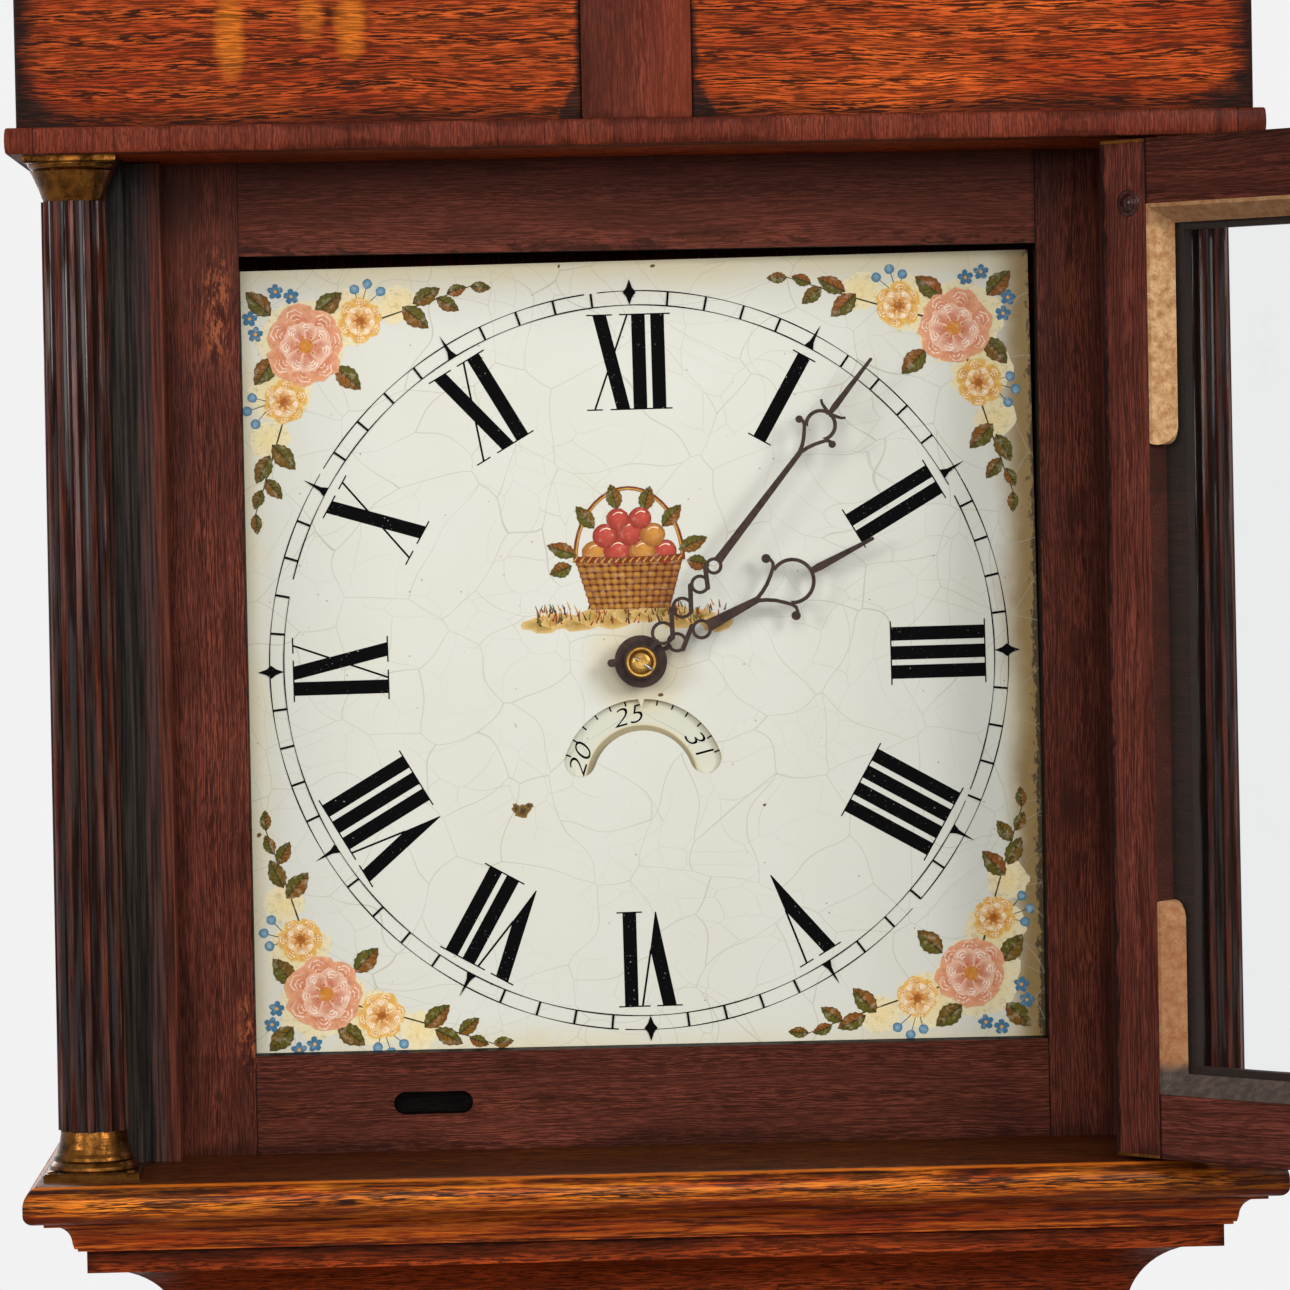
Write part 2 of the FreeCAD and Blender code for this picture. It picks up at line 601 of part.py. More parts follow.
frame_parts = (
    ("hood_door_stile_hinge", DOOR_R - FULL_S, DOOR_R, DB, DT),
    ("hood_door_stile_free", DOOR_L, DOOR_L + FULL_S, DB, DT),
    ("hood_door_rail_top", DOOR_L + FULL_S, DOOR_R - FULL_S, DT - FULL_R, DT),
    ("hood_door_rail_bottom", DOOR_L + FULL_S, DOOR_R - FULL_S, DB, DB + FULL_R),
)
for name, x0, x1, za, zb in frame_parts:
    piece = box(x0, x1, DY0, DY1, za, zb).cut(rebate).cut(sight).cut(bevel).cut(housing)
    save(name, swing(piece))
GY = DY0 + LIP_T
pane = box(pane_l + 0.4, pane_r - 0.4, GY, GY + GLASS_T, pane_b + 0.4, pane_t - 0.4)
save("hood_door_glass", swing(pane))
PY = GY + GLASS_T
outer = box(pane_l, pane_r, PY, DY1, pane_b, pane_t)
wide = [(pane_l, pane_b), (pane_r, pane_b), (pane_r, pane_t), (pane_l, pane_t)]
g0 = REBATE_W - 2.6
low_pts = [V(x + (g0 if x < 0 else -g0), PY - 0.001, z + (g0 if z < DIAL_Z else -g0)) for x, z in wide]
g1 = 1.4
top_pts = [V(x + (g1 if x < 0 else -g1), DY1 + 0.001, z + (g1 if z < DIAL_Z else -g1)) for x, z in wide]
funnel = Part.makeLoft([Part.makePolygon(q + [q[0]]) for q in (low_pts, top_pts)], True, True)
putty = outer.cut(funnel)
broken = [
    (2.0, 1.6),
    (-0.8, 0.4),
    (-2.4, 0.0),
    (-4.0, 0.5),
    (-5.4, 1.7),
    (-6.4, 3.6),
    (-7.0, 6.2),
    (-20.0, 6.4),
]
missing = [(pane_r + u, DIAL_Z + PUTTY_GAP_TOP + v) for u, v in broken]
missing += [(pane_r + u, DIAL_Z + PUTTY_GAP_LOW - v) for u, v in reversed(broken)]
putty = putty.cut(poly_y(missing, PY - 1, DY1 + 1))
save("hood_door_putty", swing(putty))
low_pin = rod_z(PIVOT_X, PIV_Y, HB_TOP - PIN_LEN + 0.5, DB + 1, PIVOT_R)
top_pin = rod_z(PIVOT_X, PIV_Y, DT - 1, SOF_Z + PIN_LEN - 2.5, PIVOT_R)
save("hood_door_strap_lower", swing(join(straps[0], low_pin)))
save("hood_door_strap_upper", swing(join(straps[1], top_pin)))

# dial with its feet and date stud, set very slightly askew as it stands in the mask


def askew(shape):
    shape.rotate(V(0, 0, DIAL_Z), V(0, 1, 0), -DIAL_TILT)
    return shape


H = DIAL_SIZE / 2.0
BACK_Y = DIAL_Y + DIAL_T
dial = box(-H, H, DIAL_Y, BACK_Y, DIAL_Z - H, DIAL_Z + H)
dial = dial.cut(rod_y(0, DIAL_Z, DIAL_Y - 1, BACK_Y + 1, 5.5))
slot_z = DIAL_Z - DATE_DROP
ring = rod_y(0, slot_z, DIAL_Y - 1, BACK_Y + 1, DATE_SLOT_R + DATE_SLOT_W / 2)
ring = ring.cut(rod_y(0, slot_z, DIAL_Y - 2, BACK_Y + 2, DATE_SLOT_R - DATE_SLOT_W / 2))
reach = math.radians(DATE_SLOT_HALF_DEG)
far = 90.0
wedge = [
    (0.0, slot_z),
    (-far * math.sin(reach), slot_z + far * math.cos(reach)),
    (-far, slot_z + far),
    (far, slot_z + far),
    (far * math.sin(reach), slot_z + far * math.cos(reach)),
]
slot = ring.common(poly_y(wedge, DIAL_Y - 3, BACK_Y + 3))
ends = []
for s in (-1, 1):
    ex = s * DATE_SLOT_R * math.sin(reach)
    ez = slot_z + DATE_SLOT_R * math.cos(reach)
    ends.append(rod_y(ex, ez, DIAL_Y - 1, BACK_Y + 1, DATE_SLOT_W / 2))
slot = join(slot, *ends)
tip_z = slot_z + DATE_SLOT_R + DATE_SLOT_W / 2
pointer = [(-1.6, tip_z + 1), (0.0, tip_z - 3.4), (1.6, tip_z + 1)]
dial = dial.cut(slot.cut(poly_y(pointer, DIAL_Y - 4, BACK_Y + 4)))
feet = []
for fx, fz in ((-46.0, 55.0), (46.0, 55.0), (-46.0, -96.0), (46.0, -96.0)):
    feet.append(rod_y(fx, DIAL_Z + fz, BACK_Y - 0.5, PLATE_Y, 3.2))
stud = rod_y(0, slot_z, BACK_Y - 0.5, BACK_Y + 4.2, 2.0)
button = rod_y(0, slot_z, BACK_Y + 2.4, BACK_Y + 4.2, 3.6)
save("dial_plate", askew(join(dial, stud, button, *feet)))

disc_pts = []
for i in range(DATE_TEETH):
    for share, r in ((0.0, DATE_DISC_R), (0.72, DATE_DISC_R - 1.6)):
        a = math.radians(90.0 + 360.0 * (i + share) / DATE_TEETH)
        disc_pts.append((r * math.cos(a), slot_z + r * math.sin(a)))
disc = poly_y(disc_pts, BACK_Y + 0.8, BACK_Y + 1.8).cut(rod_y(0, slot_z, BACK_Y, BACK_Y + 3, 2.08))
save("date_disc", askew(disc))

# hands
HOUR_Y = DIAL_Y - 8.6
MINUTE_Y = DIAL_Y - 12.6
HAND_T = 1.3
HAND_WIRE = 1.4
RING_WIRE = 1.25


def ring_at(u, r, w, y):
    return rod_y(0, u, y, y + HAND_T, r).cut(rod_y(0, u, y - 1, y + HAND_T + 1, r - w))


def stroke(u0, v0, u1, v1, w, y):
    du = u1 - u0
    dv = v1 - v0
    n = math.hypot(du, dv)
    nu = -dv / n * w / 2
    nv = du / n * w / 2
    corners = [(v0 + nv, u0 + nu), (v1 + nv, u1 + nu), (v1 - nv, u1 - nu), (v0 - nv, u0 - nu)]
    bar = poly_y(corners, y, y + HAND_T)
    return join(bar, rod_y(v0, u0, y, y + HAND_T, w / 2), rod_y(v1, u1, y, y + HAND_T, w / 2))


def ribbon(path, w0, w1, y):
    """Flat strip along a bent path of (length, side) points, tapering from w0 to w1."""
    left = []
    right = []
    last = len(path) - 1
    for i in range(last + 1):
        ua, va = path[max(i - 1, 0)]
        ub, vb = path[min(i + 1, last)]
        n = math.hypot(ub - ua, vb - va)
        half = (w0 + (w1 - w0) * i / last) / 2
        u, v = path[i]
        left.append((v + (ub - ua) / n * half, u - (vb - va) / n * half))
        right.append((v - (ub - ua) / n * half, u + (vb - va) / n * half))
    return poly_y(left + right[::-1], y, y + HAND_T)


def hand(y, length, hub_r, bore, rings, loop_u, loop_r, stem, flank, cut, ball_r, horn, blade_w):
    """Pierced hand pointing up from the origin; flank and horn are in shares of the loop's radius."""
    parts = []
    for u, r in rings:
        parts.append(ring_at(u, r, RING_WIRE, y))
    for (ua, ra), (ub, rb) in zip(rings[:-1], rings[1:]):
        parts.append(stroke(ua - ra * 0.7, -ra * 0.72, ub + rb * 0.2, rb * 0.86, 1.8, y))
    neck = rings[-1][0] - rings[-1][1] + 0.6
    parts.append(stroke(hub_r - 0.8, 0.0, neck, 0.0, 1.8, y))
    path = [(loop_u + a * loop_r, b * loop_r) for a, b in flank]
    u0 = rings[0][0] + rings[0][1] - 1.0
    side = [(stem[0] * 0.55, u0), (stem[0] / 2, u0 + 4), (stem[1] / 2, path[0][0] + HAND_WIRE)]
    parts.append(poly_y(side + [(-v, u) for v, u in reversed(side)], y, y + HAND_T))
    arch = ring_at(loop_u, loop_r, HAND_WIRE, y)
    below = box(-2 * loop_r, 2 * loop_r, y - 1, y + HAND_T + 1, loop_u - 2 * loop_r, loop_u - cut * loop_r)
    parts.append(arch.cut(below))
    for s in (-1, 1):
        parts.append(ribbon([(u, s * v) for u, v in path], HAND_WIRE + 0.1, HAND_WIRE - 0.15, y))
        parts.append(rod_y(s * path[-1][1], path[-1][0], y, y + HAND_T, ball_r))
        if horn:
            tip = [(loop_u + a * loop_r, s * b * loop_r) for a, b in horn]
            parts.append(ribbon(tip, HAND_WIRE + 0.1, HAND_WIRE - 0.5, y))
    root = loop_u + loop_r - HAND_WIRE + 0.2
    edge = [(blade_w[0] / 2, root), (blade_w[1] / 2, root + 4), (blade_w[2] / 2, length - 0.3)]
    blade = edge + [(0, length)] + [(-v, u) for v, u in reversed(edge)]
    parts.append(poly_y(blade, y, y + HAND_T))
    hub = rod_y(0, 0, y, y + HAND_T, hub_r)
    return join(hub, *parts).cut(rod_y(0, 0, y - 1, y + HAND_T + 1, bore))


def place_hand(shape, degrees):
    shape.rotate(V(0, 0, 0), V(0, 1, 0), degrees)
    shape.translate(V(0, 0, DIAL_Z))
    return shape


PIPE_R = 2.6
HOUR_PIPE_R = 4.4
minute = hand(
    MINUTE_Y,
    MINUTE_LEN,
    MINUTE_HUB_R,
    PIPE_R,
    MINUTE_RINGS,
    MINUTE_LOOP_U,
    MINUTE_LOOP_R,
    (3.2, 1.9),
    ((-2.0, 0.05), (-1.61, 0.18), (-1.23, 0.37), (-0.87, 0.60), (-0.58, 0.81), (-0.44, 1.03), (-0.50, 1.27)),
    0.55,
    1.4,
    ((0.81, 0.03), (0.95, 0.26), (1.03, 0.52), (1.11, 0.74), (1.29, 0.94)),
    (1.6, 2.5, 1.2),
)
save("minute_hand", place_hand(minute, MINUTE_DEG))
hour = hand(
    HOUR_Y,
    HOUR_LEN,
    HOUR_HUB_R,
    HOUR_PIPE_R,
    HOUR_RINGS,
    HOUR_LOOP_U,
    HOUR_LOOP_R,
    (4.2, 2.4),
    (
        (-1.69, 0.05),
        (-1.35, 0.19),
        (-1.02, 0.39),
        (-0.71, 0.65),
        (-0.47, 0.88),
        (-0.37, 1.07),
        (-0.40, 1.26),
        (-0.54, 1.38),
    ),
    0.45,
    1.75,
    None,
    (2.2, 3.0, 1.3),
)
lug = math.radians(LUG_DEG - HOUR_DEG)
lug_u = math.cos(lug)
lug_v = math.sin(lug)
lug_in = HOUR_HUB_R - 1.0
lug_out = HOUR_HUB_R + LUG_OUT
hour = join(hour, stroke(lug_u * lug_in, lug_v * lug_in, lug_u * lug_out, lug_v * lug_out, LUG_W, HOUR_Y))
save("hour_hand", place_hand(hour, HOUR_DEG))

# motion work: cannon, hour pipe and collet on the centre stud
STUD_R = 1.5
CANNON_Y = PLATE_Y - 6.0
HOURW_Y = PLATE_Y - 12.6
up = 270.0
cannon = wheel(CANNON_N, M_MOTION, 0, DIAL_Z, CANNON_Y, CANNON_Y + 2.0, up)
cannon = join(
    cannon,
    rod_y(0, DIAL_Z, CANNON_Y + 1.0, PLATE_Y - 0.3, 4.0),
    rod_y(0, DIAL_Z, MINUTE_Y, CANNON_Y + 1.0, PIPE_R),
)
save("cannon_wheel", cannon.cut(rod_y(0, DIAL_Z, MINUTE_Y - 1, PLATE_Y, STUD_R + 0.06)))
hourw = wheel(HOUR_N, M_TRAIN, 0, DIAL_Z, HOURW_Y, HOURW_Y + 2.0, up)
hourw = crossed(hourw, 0, DIAL_Z, HOURW_Y, HOURW_Y + 2.0, 10.0, 37.0, 6.0, 4)
hourw = join(hourw, rod_y(0, DIAL_Z, HOUR_Y, HOURW_Y + 2.0, HOUR_PIPE_R))
save("hour_wheel", hourw.cut(rod_y(0, DIAL_Z, HOUR_Y - 1, PLATE_Y, PIPE_R + 0.08)))
collet_pts = [
    (STUD_R + 0.06, MINUTE_Y),
    (6.0, MINUTE_Y),
    (6.0, MINUTE_Y - 0.7),
    (5.5, MINUTE_Y - 1.2),
    (4.8, MINUTE_Y - 1.2),
    (4.3, MINUTE_Y - 0.8),
    (4.0, MINUTE_Y - 1.6),
    (3.4, MINUTE_Y - 2.4),
    (2.5, MINUTE_Y - 2.8),
    (STUD_R + 0.06, MINUTE_Y - 2.8),
]
save("hand_collet", turned_y(collet_pts, 0, DIAL_Z))

# plates, pillars and back cock
gz = DIAL_Z + GREAT_Z
ez = DIAL_Z + ESC_Z
az = DIAL_Z + PALLET_Z
GREAT_TO_SECOND = (GREAT_N + PINION_N) * M_TRAIN / 2.0
SECOND_TO_ESC = (SECOND_N + PINION_N) * M_SECOND / 2.0
span = ESC_Z - GREAT_Z
along = (GREAT_TO_SECOND**2 - SECOND_TO_ESC**2 + span**2) / (2.0 * span)
sx = math.sqrt(GREAT_TO_SECOND**2 - along**2)
sz = gz + along
FIT = 0.06
PIV = 1.0
GREAT_PIV = 1.5
GREAT_NOSE = 2.5
plate_pts = [
    (-PLATE_HALF, SEAT_Z),
    (PLATE_HALF, SEAT_Z),
    (PLATE_HALF, DIAL_Z + PLATE_TOP - 12.0),
    (PLATE_HALF - 12.0, DIAL_Z + PLATE_TOP),
    (12.0 - PLATE_HALF, DIAL_Z + PLATE_TOP),
    (-PLATE_HALF, DIAL_Z + PLATE_TOP - 12.0),
]
front = poly_y(plate_pts, PLATE_Y, PLATE_Y + PLATE_T)
back = poly_y(plate_pts, BACK_PLATE_Y, BACK_PLATE_Y + PLATE_T)
holes_f = ((0.0, gz, GREAT_NOSE), (sx, sz, PIV), (0.0, ez, PIV), (0.0, az, PIV))
for x, z, r in holes_f:
    front = front.cut(rod_y(x, z, PLATE_Y - 1, PLATE_Y + PLATE_T + 1, r + FIT))
front = join(front, rod_y(0, DIAL_Z, MINUTE_Y - 4.6, PLATE_Y + 1.0, STUD_R))
save("front_plate", front)
holes_b = ((0.0, gz, GREAT_PIV), (sx, sz, PIV), (0.0, ez, PIV), (0.0, az, 5.0))
for x, z, r in holes_b:
    back = back.cut(rod_y(x, z, BACK_PLATE_Y - 1, BACK_PLATE_Y + PLATE_T + 1, r + FIT))
PILLAR_X = PLATE_HALF - 9.0
pillars = []
y0 = PLATE_Y + PLATE_T
for px, pz in [(x, z) for x in (-PILLAR_X, PILLAR_X) for z in (PLATE_LOW + 9.0, PLATE_TOP - 21.0)]:
    pts = [
        (0.0, y0),
        (6.0, y0),
        (6.0, y0 + 4.0),
        (4.2, y0 + 7.0),
        (4.2, y0 + 26.0),
        (5.6, y0 + 31.0),
        (4.2, y0 + 36.0),
        (4.2, BACK_PLATE_Y - 7.0),
        (6.0, BACK_PLATE_Y - 4.0),
        (6.0, BACK_PLATE_Y + 1.0),
        (0.0, BACK_PLATE_Y + 1.0),
    ]
    pillars.append(turned_y(pts, px, DIAL_Z + pz))
save("back_plate", join(back, *pillars))
COCK_Y = BACK_PLATE_Y + PLATE_T + 14.0
cock = box(-27.0, 27.0, COCK_Y, COCK_Y + 3.0, az - 8.0, az + 14.0)
for s in (-1, 1):
    leg = sorted((s * 19.0, s * 27.0))
    cock = cock.fuse(box(leg[0], leg[1], BACK_PLATE_Y + PLATE_T, COCK_Y + 1.0, az - 8.0, az + 14.0))
lug = box(-10.0, 10.0, COCK_Y + 2.0, PEND_Y + 6.0, az + 2.2, az + 14.0)
lug = lug.cut(box(-0.8, 0.8, PEND_Y - 5.0, PEND_Y + 7.0, az + 1, az + 15.0))
block = box(-5.0, 5.0, PEND_Y - 5.0, PEND_Y + 5.0, az + 14.0, az + 21.0)
cock = join(cock, lug, block).cut(rod_y(0, az, COCK_Y - 1, COCK_Y + 4, PIV + FIT))
save("back_cock", cock)

# going train
yf = PLATE_Y + PLATE_T + 1.0
yb = BACK_PLATE_Y - 1.0
YG = yf + 15.0
DRIVE_Y = CANNON_Y
toward_s = math.degrees(math.atan2(sz - gz, sx))
great = wheel(GREAT_N, M_TRAIN, 0, gz, YG, YG + 2.6, toward_s)
great = crossed(great, 0, gz, YG, YG + 2.6, 11.0, 36.0, 7.0, 4)
pulley_pts = [
    (0.0, YG + 6.0),
    (22.5, YG + 6.0),
    (22.5, YG + 8.0),
    (17.0, YG + 11.0),
    (17.0, YG + 17.0),
    (22.5, YG + 20.0),
    (22.5, YG + 22.0),
    (0.0, YG + 22.0),
]
arbor = join(
    rod_y(0, gz, yf, yb, 3.2),
    rod_y(0, gz, PLATE_Y - 16.0, yf + 1, GREAT_NOSE),
    rod_y(0, gz, yb - 1, BACK_PLATE_Y + PLATE_T + 0.6, GREAT_PIV),
)
boss = rod_y(0, gz, YG + 1.0, YG + 7.0, 9.0)
save("great_wheel", join(great, boss, turned_y(pulley_pts, 0, gz), arbor))
drive = wheel(DRIVE_N, M_MOTION, 0, gz, DRIVE_Y, DRIVE_Y + 2.0, 90.0 + 180.0 / DRIVE_N)
drive = crossed(drive, 0, gz, DRIVE_Y, DRIVE_Y + 2.0, 8.0, 27.0, 5.0, 4)
report = pinion(REPORT_N, M_TRAIN, 0, gz, HOURW_Y - 1.0, DRIVE_Y + 1.0, 90.0 + 180.0 / REPORT_N)
drive = join(drive, report, rod_y(0, gz, DRIVE_Y, PLATE_Y - 0.4, 5.0))
save("motion_drive_wheel", drive.cut(rod_y(0, gz, HOURW_Y - 3.0, PLATE_Y, GREAT_NOSE)))

YS = yb - 17.0
toward_g = toward_s + 180.0
toward_e = math.degrees(math.atan2(ez - sz, -sx))
second_arbor = join(
    pinion(PINION_N, M_TRAIN, sx, sz, YG - 2.0, YG + 5.0, toward_g + 180.0 / PINION_N),
    rod_y(sx, sz, yf, YG - 1.0, 2.0),
    rod_y(sx, sz, YG + 4.0, yb, 2.0),
    rod_y(sx, sz, PLATE_Y - 0.4, yf + 1, PIV),
    rod_y(sx, sz, yb - 1, BACK_PLATE_Y + PLATE_T + 0.4, PIV),
)
second = wheel(SECOND_N, M_SECOND, sx, sz, YS, YS + 1.8, toward_e)
second = crossed(second, sx, sz, YS, YS + 1.8, 6.0, 22.5, 4.0, 4)
save("second_wheel", join(second, rod_y(sx, sz, YS - 3.0, YS + 1.0, 4.0), second_arbor))

YE = yb - 6.6
esc_arbor = join(
    pinion(PINION_N, M_SECOND, 0, ez, YS - 2.0, YS + 4.0, toward_e + 180.0 + 180.0 / PINION_N),
    rod_y(0, ez, yf, YS - 1.0, 1.7),
    rod_y(0, ez, YS + 3.0, yb, 1.7),
    rod_y(0, ez, PLATE_Y - 0.4, yf + 1, PIV),
    rod_y(0, ez, yb - 1, BACK_PLATE_Y + PLATE_T + 0.4, PIV),
)
esc_pts = []
for i in range(ESC_TEETH):
    for share, r in ((0.0, ESC_R), (0.10, ESC_R), (0.42, ESC_R - 4.4), (0.86, ESC_R - 4.4)):
        a = math.radians(90.0 + 360.0 * (i + share) / ESC_TEETH)
        esc_pts.append((r * math.cos(a), ez + r * math.sin(a)))
esc = poly_y(esc_pts, YE, YE + 1.4)
esc = crossed(esc, 0, ez, YE, YE + 1.4, 4.6, 13.0, 3.0, 4)
save("escape_wheel", join(esc, rod_y(0, ez, YE - 1.4, YE + 1.0, 3.6), esc_arbor))

# anchor with its crutch, and the pendulum it drives
CLEAR = 1.6
reach_r = (ESC_R + CLEAR) / math.sqrt(2.0)
half_span = reach_r
tip_z = ez + reach_r
ya = YE - 0.5
yz = YE + 1.9
anchor_pts = [
    (-half_span, tip_z),
    (-half_span - 4.2, tip_z + 3.4),
    (-half_span - 1.8, az - 4.6),
    (-7.0, az + 2.6),
    (0.0, az + 5.0),
    (7.0, az + 2.6),
    (half_span + 1.8, az - 4.6),
    (half_span + 4.2, tip_z + 3.4),
    (half_span, tip_z),
    (half_span - 1.4, tip_z + 3.2),
    (half_span - 4.0, az - 6.0),
    (5.0, az - 4.0),
    (-5.0, az - 4.0),
    (4.0 - half_span, az - 6.0),
    (1.4 - half_span, tip_z + 3.2),
]
CRUTCH_Y = BACK_PLATE_Y + PLATE_T + 7.0
ROD_R = 2.5
fork_z = az - 96.0
crutch = [
    box(-1.6, 1.6, CRUTCH_Y - 1.5, CRUTCH_Y + 1.5, fork_z, az),
    box(-6.4, 6.4, CRUTCH_Y - 1.5, CRUTCH_Y + 1.5, fork_z - 4.0, fork_z),
]
for s in (-1, 1):
    prong = sorted((s * (ROD_R + 0.4), s * 6.4))
    crutch.append(box(prong[0], prong[1], CRUTCH_Y, PEND_Y + 5.0, fork_z - 4.0, fork_z))
anchor = join(
    poly_y(anchor_pts, ya, yz),
    rod_y(0, az, yf, COCK_Y - 0.6, 1.8),
    rod_y(0, az, PLATE_Y - 0.4, yf + 1, PIV),
    rod_y(0, az, COCK_Y - 1.6, COCK_Y + 3.0, PIV),
    *crutch,
)
save("anchor", anchor)
bob_z = az - PEND_LEN
NUT_TOP = bob_z - BOB_R + 1.6
rod = join(
    box(-0.3, 0.3, PEND_Y - 2.9, PEND_Y + 2.9, az - 30.0, az + 1.6),
    box(-4.0, 4.0, PEND_Y - 4.5, PEND_Y + 4.5, az - 36.0, az - 24.0),
    rod_z(0, PEND_Y, NUT_TOP - 26.0, az - 35.0, ROD_R),
)
save("pendulum_rod", rod)
lens_r = (BOB_R**2 + (BOB_T / 2) ** 2) / BOB_T
left = Part.makeSphere(lens_r, V(0, PEND_Y - BOB_T / 2 + lens_r, bob_z))
right = Part.makeSphere(lens_r, V(0, PEND_Y + BOB_T / 2 - lens_r, bob_z))
bob = left.common(right).common(rod_y(0, bob_z, PEND_Y - BOB_T, PEND_Y + BOB_T, BOB_R - 1.6))
save("pendulum_bob", bob.cut(rod_z(0, PEND_Y, bob_z - BOB_R - 1, bob_z + BOB_R + 1, ROD_R)))
nut = rod_z(0, PEND_Y, NUT_TOP - 9.0, NUT_TOP, 8.0).cut(rod_z(0, PEND_Y, NUT_TOP - 10.0, NUT_TOP + 1, ROD_R))
save("rating_nut", nut)

# driving weight with its pulley, standing on the floor of the case
WX = 0.0
WY = -12.0
W_Z = FLOOR_Z + BOARD_T
W_R = 39.0
W_H = 132.0
PUL_Z = W_Z + W_H + 46.0
side = [(0.0, 0.0), (W_R - 3, 0.0), (W_R, 3.0), (W_R, W_H - 5), (W_R - 5, W_H), (0.0, W_H)]
body = turned(side, WX, WY, W_Z)
stirrup = box(-3.0, 3.0, WY - 11.0, WY + 11.0, W_Z + W_H - 2.0, W_Z + W_H + 8.0)
for s in (-1, 1):
    arm_y = sorted((WY + s * 8.5, WY + s * 11.0))
    stirrup = stirrup.fuse(box(-6.0, 6.0, arm_y[0], arm_y[1], W_Z + W_H + 2.0, PUL_Z + 7.0))
stirrup = stirrup.fuse(rod_y(0, PUL_Z, WY - 11.0, WY + 11.0, 2.5))
save("driving_weight", join(body, stirrup))
sheave_pts = [
    (2.56, WY - 8.0),
    (26.0, WY - 8.0),
    (26.0, WY - 6.0),
    (20.0, WY - 3.0),
    (20.0, WY + 3.0),
    (26.0, WY + 6.0),
    (26.0, WY + 8.0),
    (2.56, WY + 8.0),
]
save("weight_pulley", turned_y(sheave_pts, 0, PUL_Z))
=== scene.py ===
import logging
import math
import random
from dataclasses import dataclass, field, replace
from enum import Enum
from typing import Callable, Dict, Iterable, List, Optional, Sequence, Tuple, Union

import bpy
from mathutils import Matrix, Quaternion, Vector


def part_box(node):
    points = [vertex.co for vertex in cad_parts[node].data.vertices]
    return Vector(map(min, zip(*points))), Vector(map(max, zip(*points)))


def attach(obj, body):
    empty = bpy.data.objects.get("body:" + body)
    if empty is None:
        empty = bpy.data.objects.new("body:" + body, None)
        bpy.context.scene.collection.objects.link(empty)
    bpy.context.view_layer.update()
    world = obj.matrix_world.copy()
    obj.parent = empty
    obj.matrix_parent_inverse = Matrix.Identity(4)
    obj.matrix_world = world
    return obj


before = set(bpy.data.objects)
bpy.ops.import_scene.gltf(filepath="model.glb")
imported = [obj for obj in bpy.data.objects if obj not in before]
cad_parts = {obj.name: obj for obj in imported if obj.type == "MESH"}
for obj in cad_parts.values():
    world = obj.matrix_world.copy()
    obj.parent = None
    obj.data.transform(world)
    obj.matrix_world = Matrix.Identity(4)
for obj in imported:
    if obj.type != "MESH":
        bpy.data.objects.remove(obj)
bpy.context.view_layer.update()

log = logging.getLogger("longcase_clock")

Colour = Tuple[float, float, float]
Point = Tuple[float, float]
Spot = Tuple[float, float, float]
Shape = Tuple[List[Spot], List[List[int]]]
Box = Tuple[Sequence[float], Sequence[float]]
Operand = Union["Value", float, int]
Place = Tuple["Value", "Value", "Value"]
Recolour = Callable[["Graph", "Value", Place], "Value"]

PER_METRE = 1000.0
BLACK: Colour = (0.0, 0.0, 0.0)
SHIFTS = 977
SHIFT_ALONG = 3.1
SHIFT_OVER = 1.7
SHIFT_UPRIGHT = 311.0
JOINT_NEAR = 0.05
JOINT_FAR = 0.1
DIAL_Z = 1640.0
DIAL_Y = -50.5
DIAL_HALF = 152.4
DIAL_TILT = 0.6
DATE_DROP = 46.0
DOOR_PIVOT = (187.4, -110.5, 0.0)
DOOR_OPEN = 136.0


def tint(red: int, green: int, blue: int) -> Colour:
    """Turns a screen colour into the linear colour that a shader takes.

    Args:
        red: 0 to 255.
        green: 0 to 255.
        blue: 0 to 255.

    Returns:
        The linear colour.
    """
    def lin(c: float) -> float:
        """Linear value of one channel."""
        c /= 255.0
        return c / 12.92 if c <= 0.04045 else ((c + 0.055) / 1.055) ** 2.4
    return (lin(red), lin(green), lin(blue))


def blend(a: Colour, b: Colour, t: float) -> Colour:
    """Colour between a and b at share t."""
    return tuple(x + (y - x) * t for x, y in zip(a, b))


class Grain(Enum):
    """The way the fibres of a board run."""

    ACROSS = "x"
    UPRIGHT = "z"


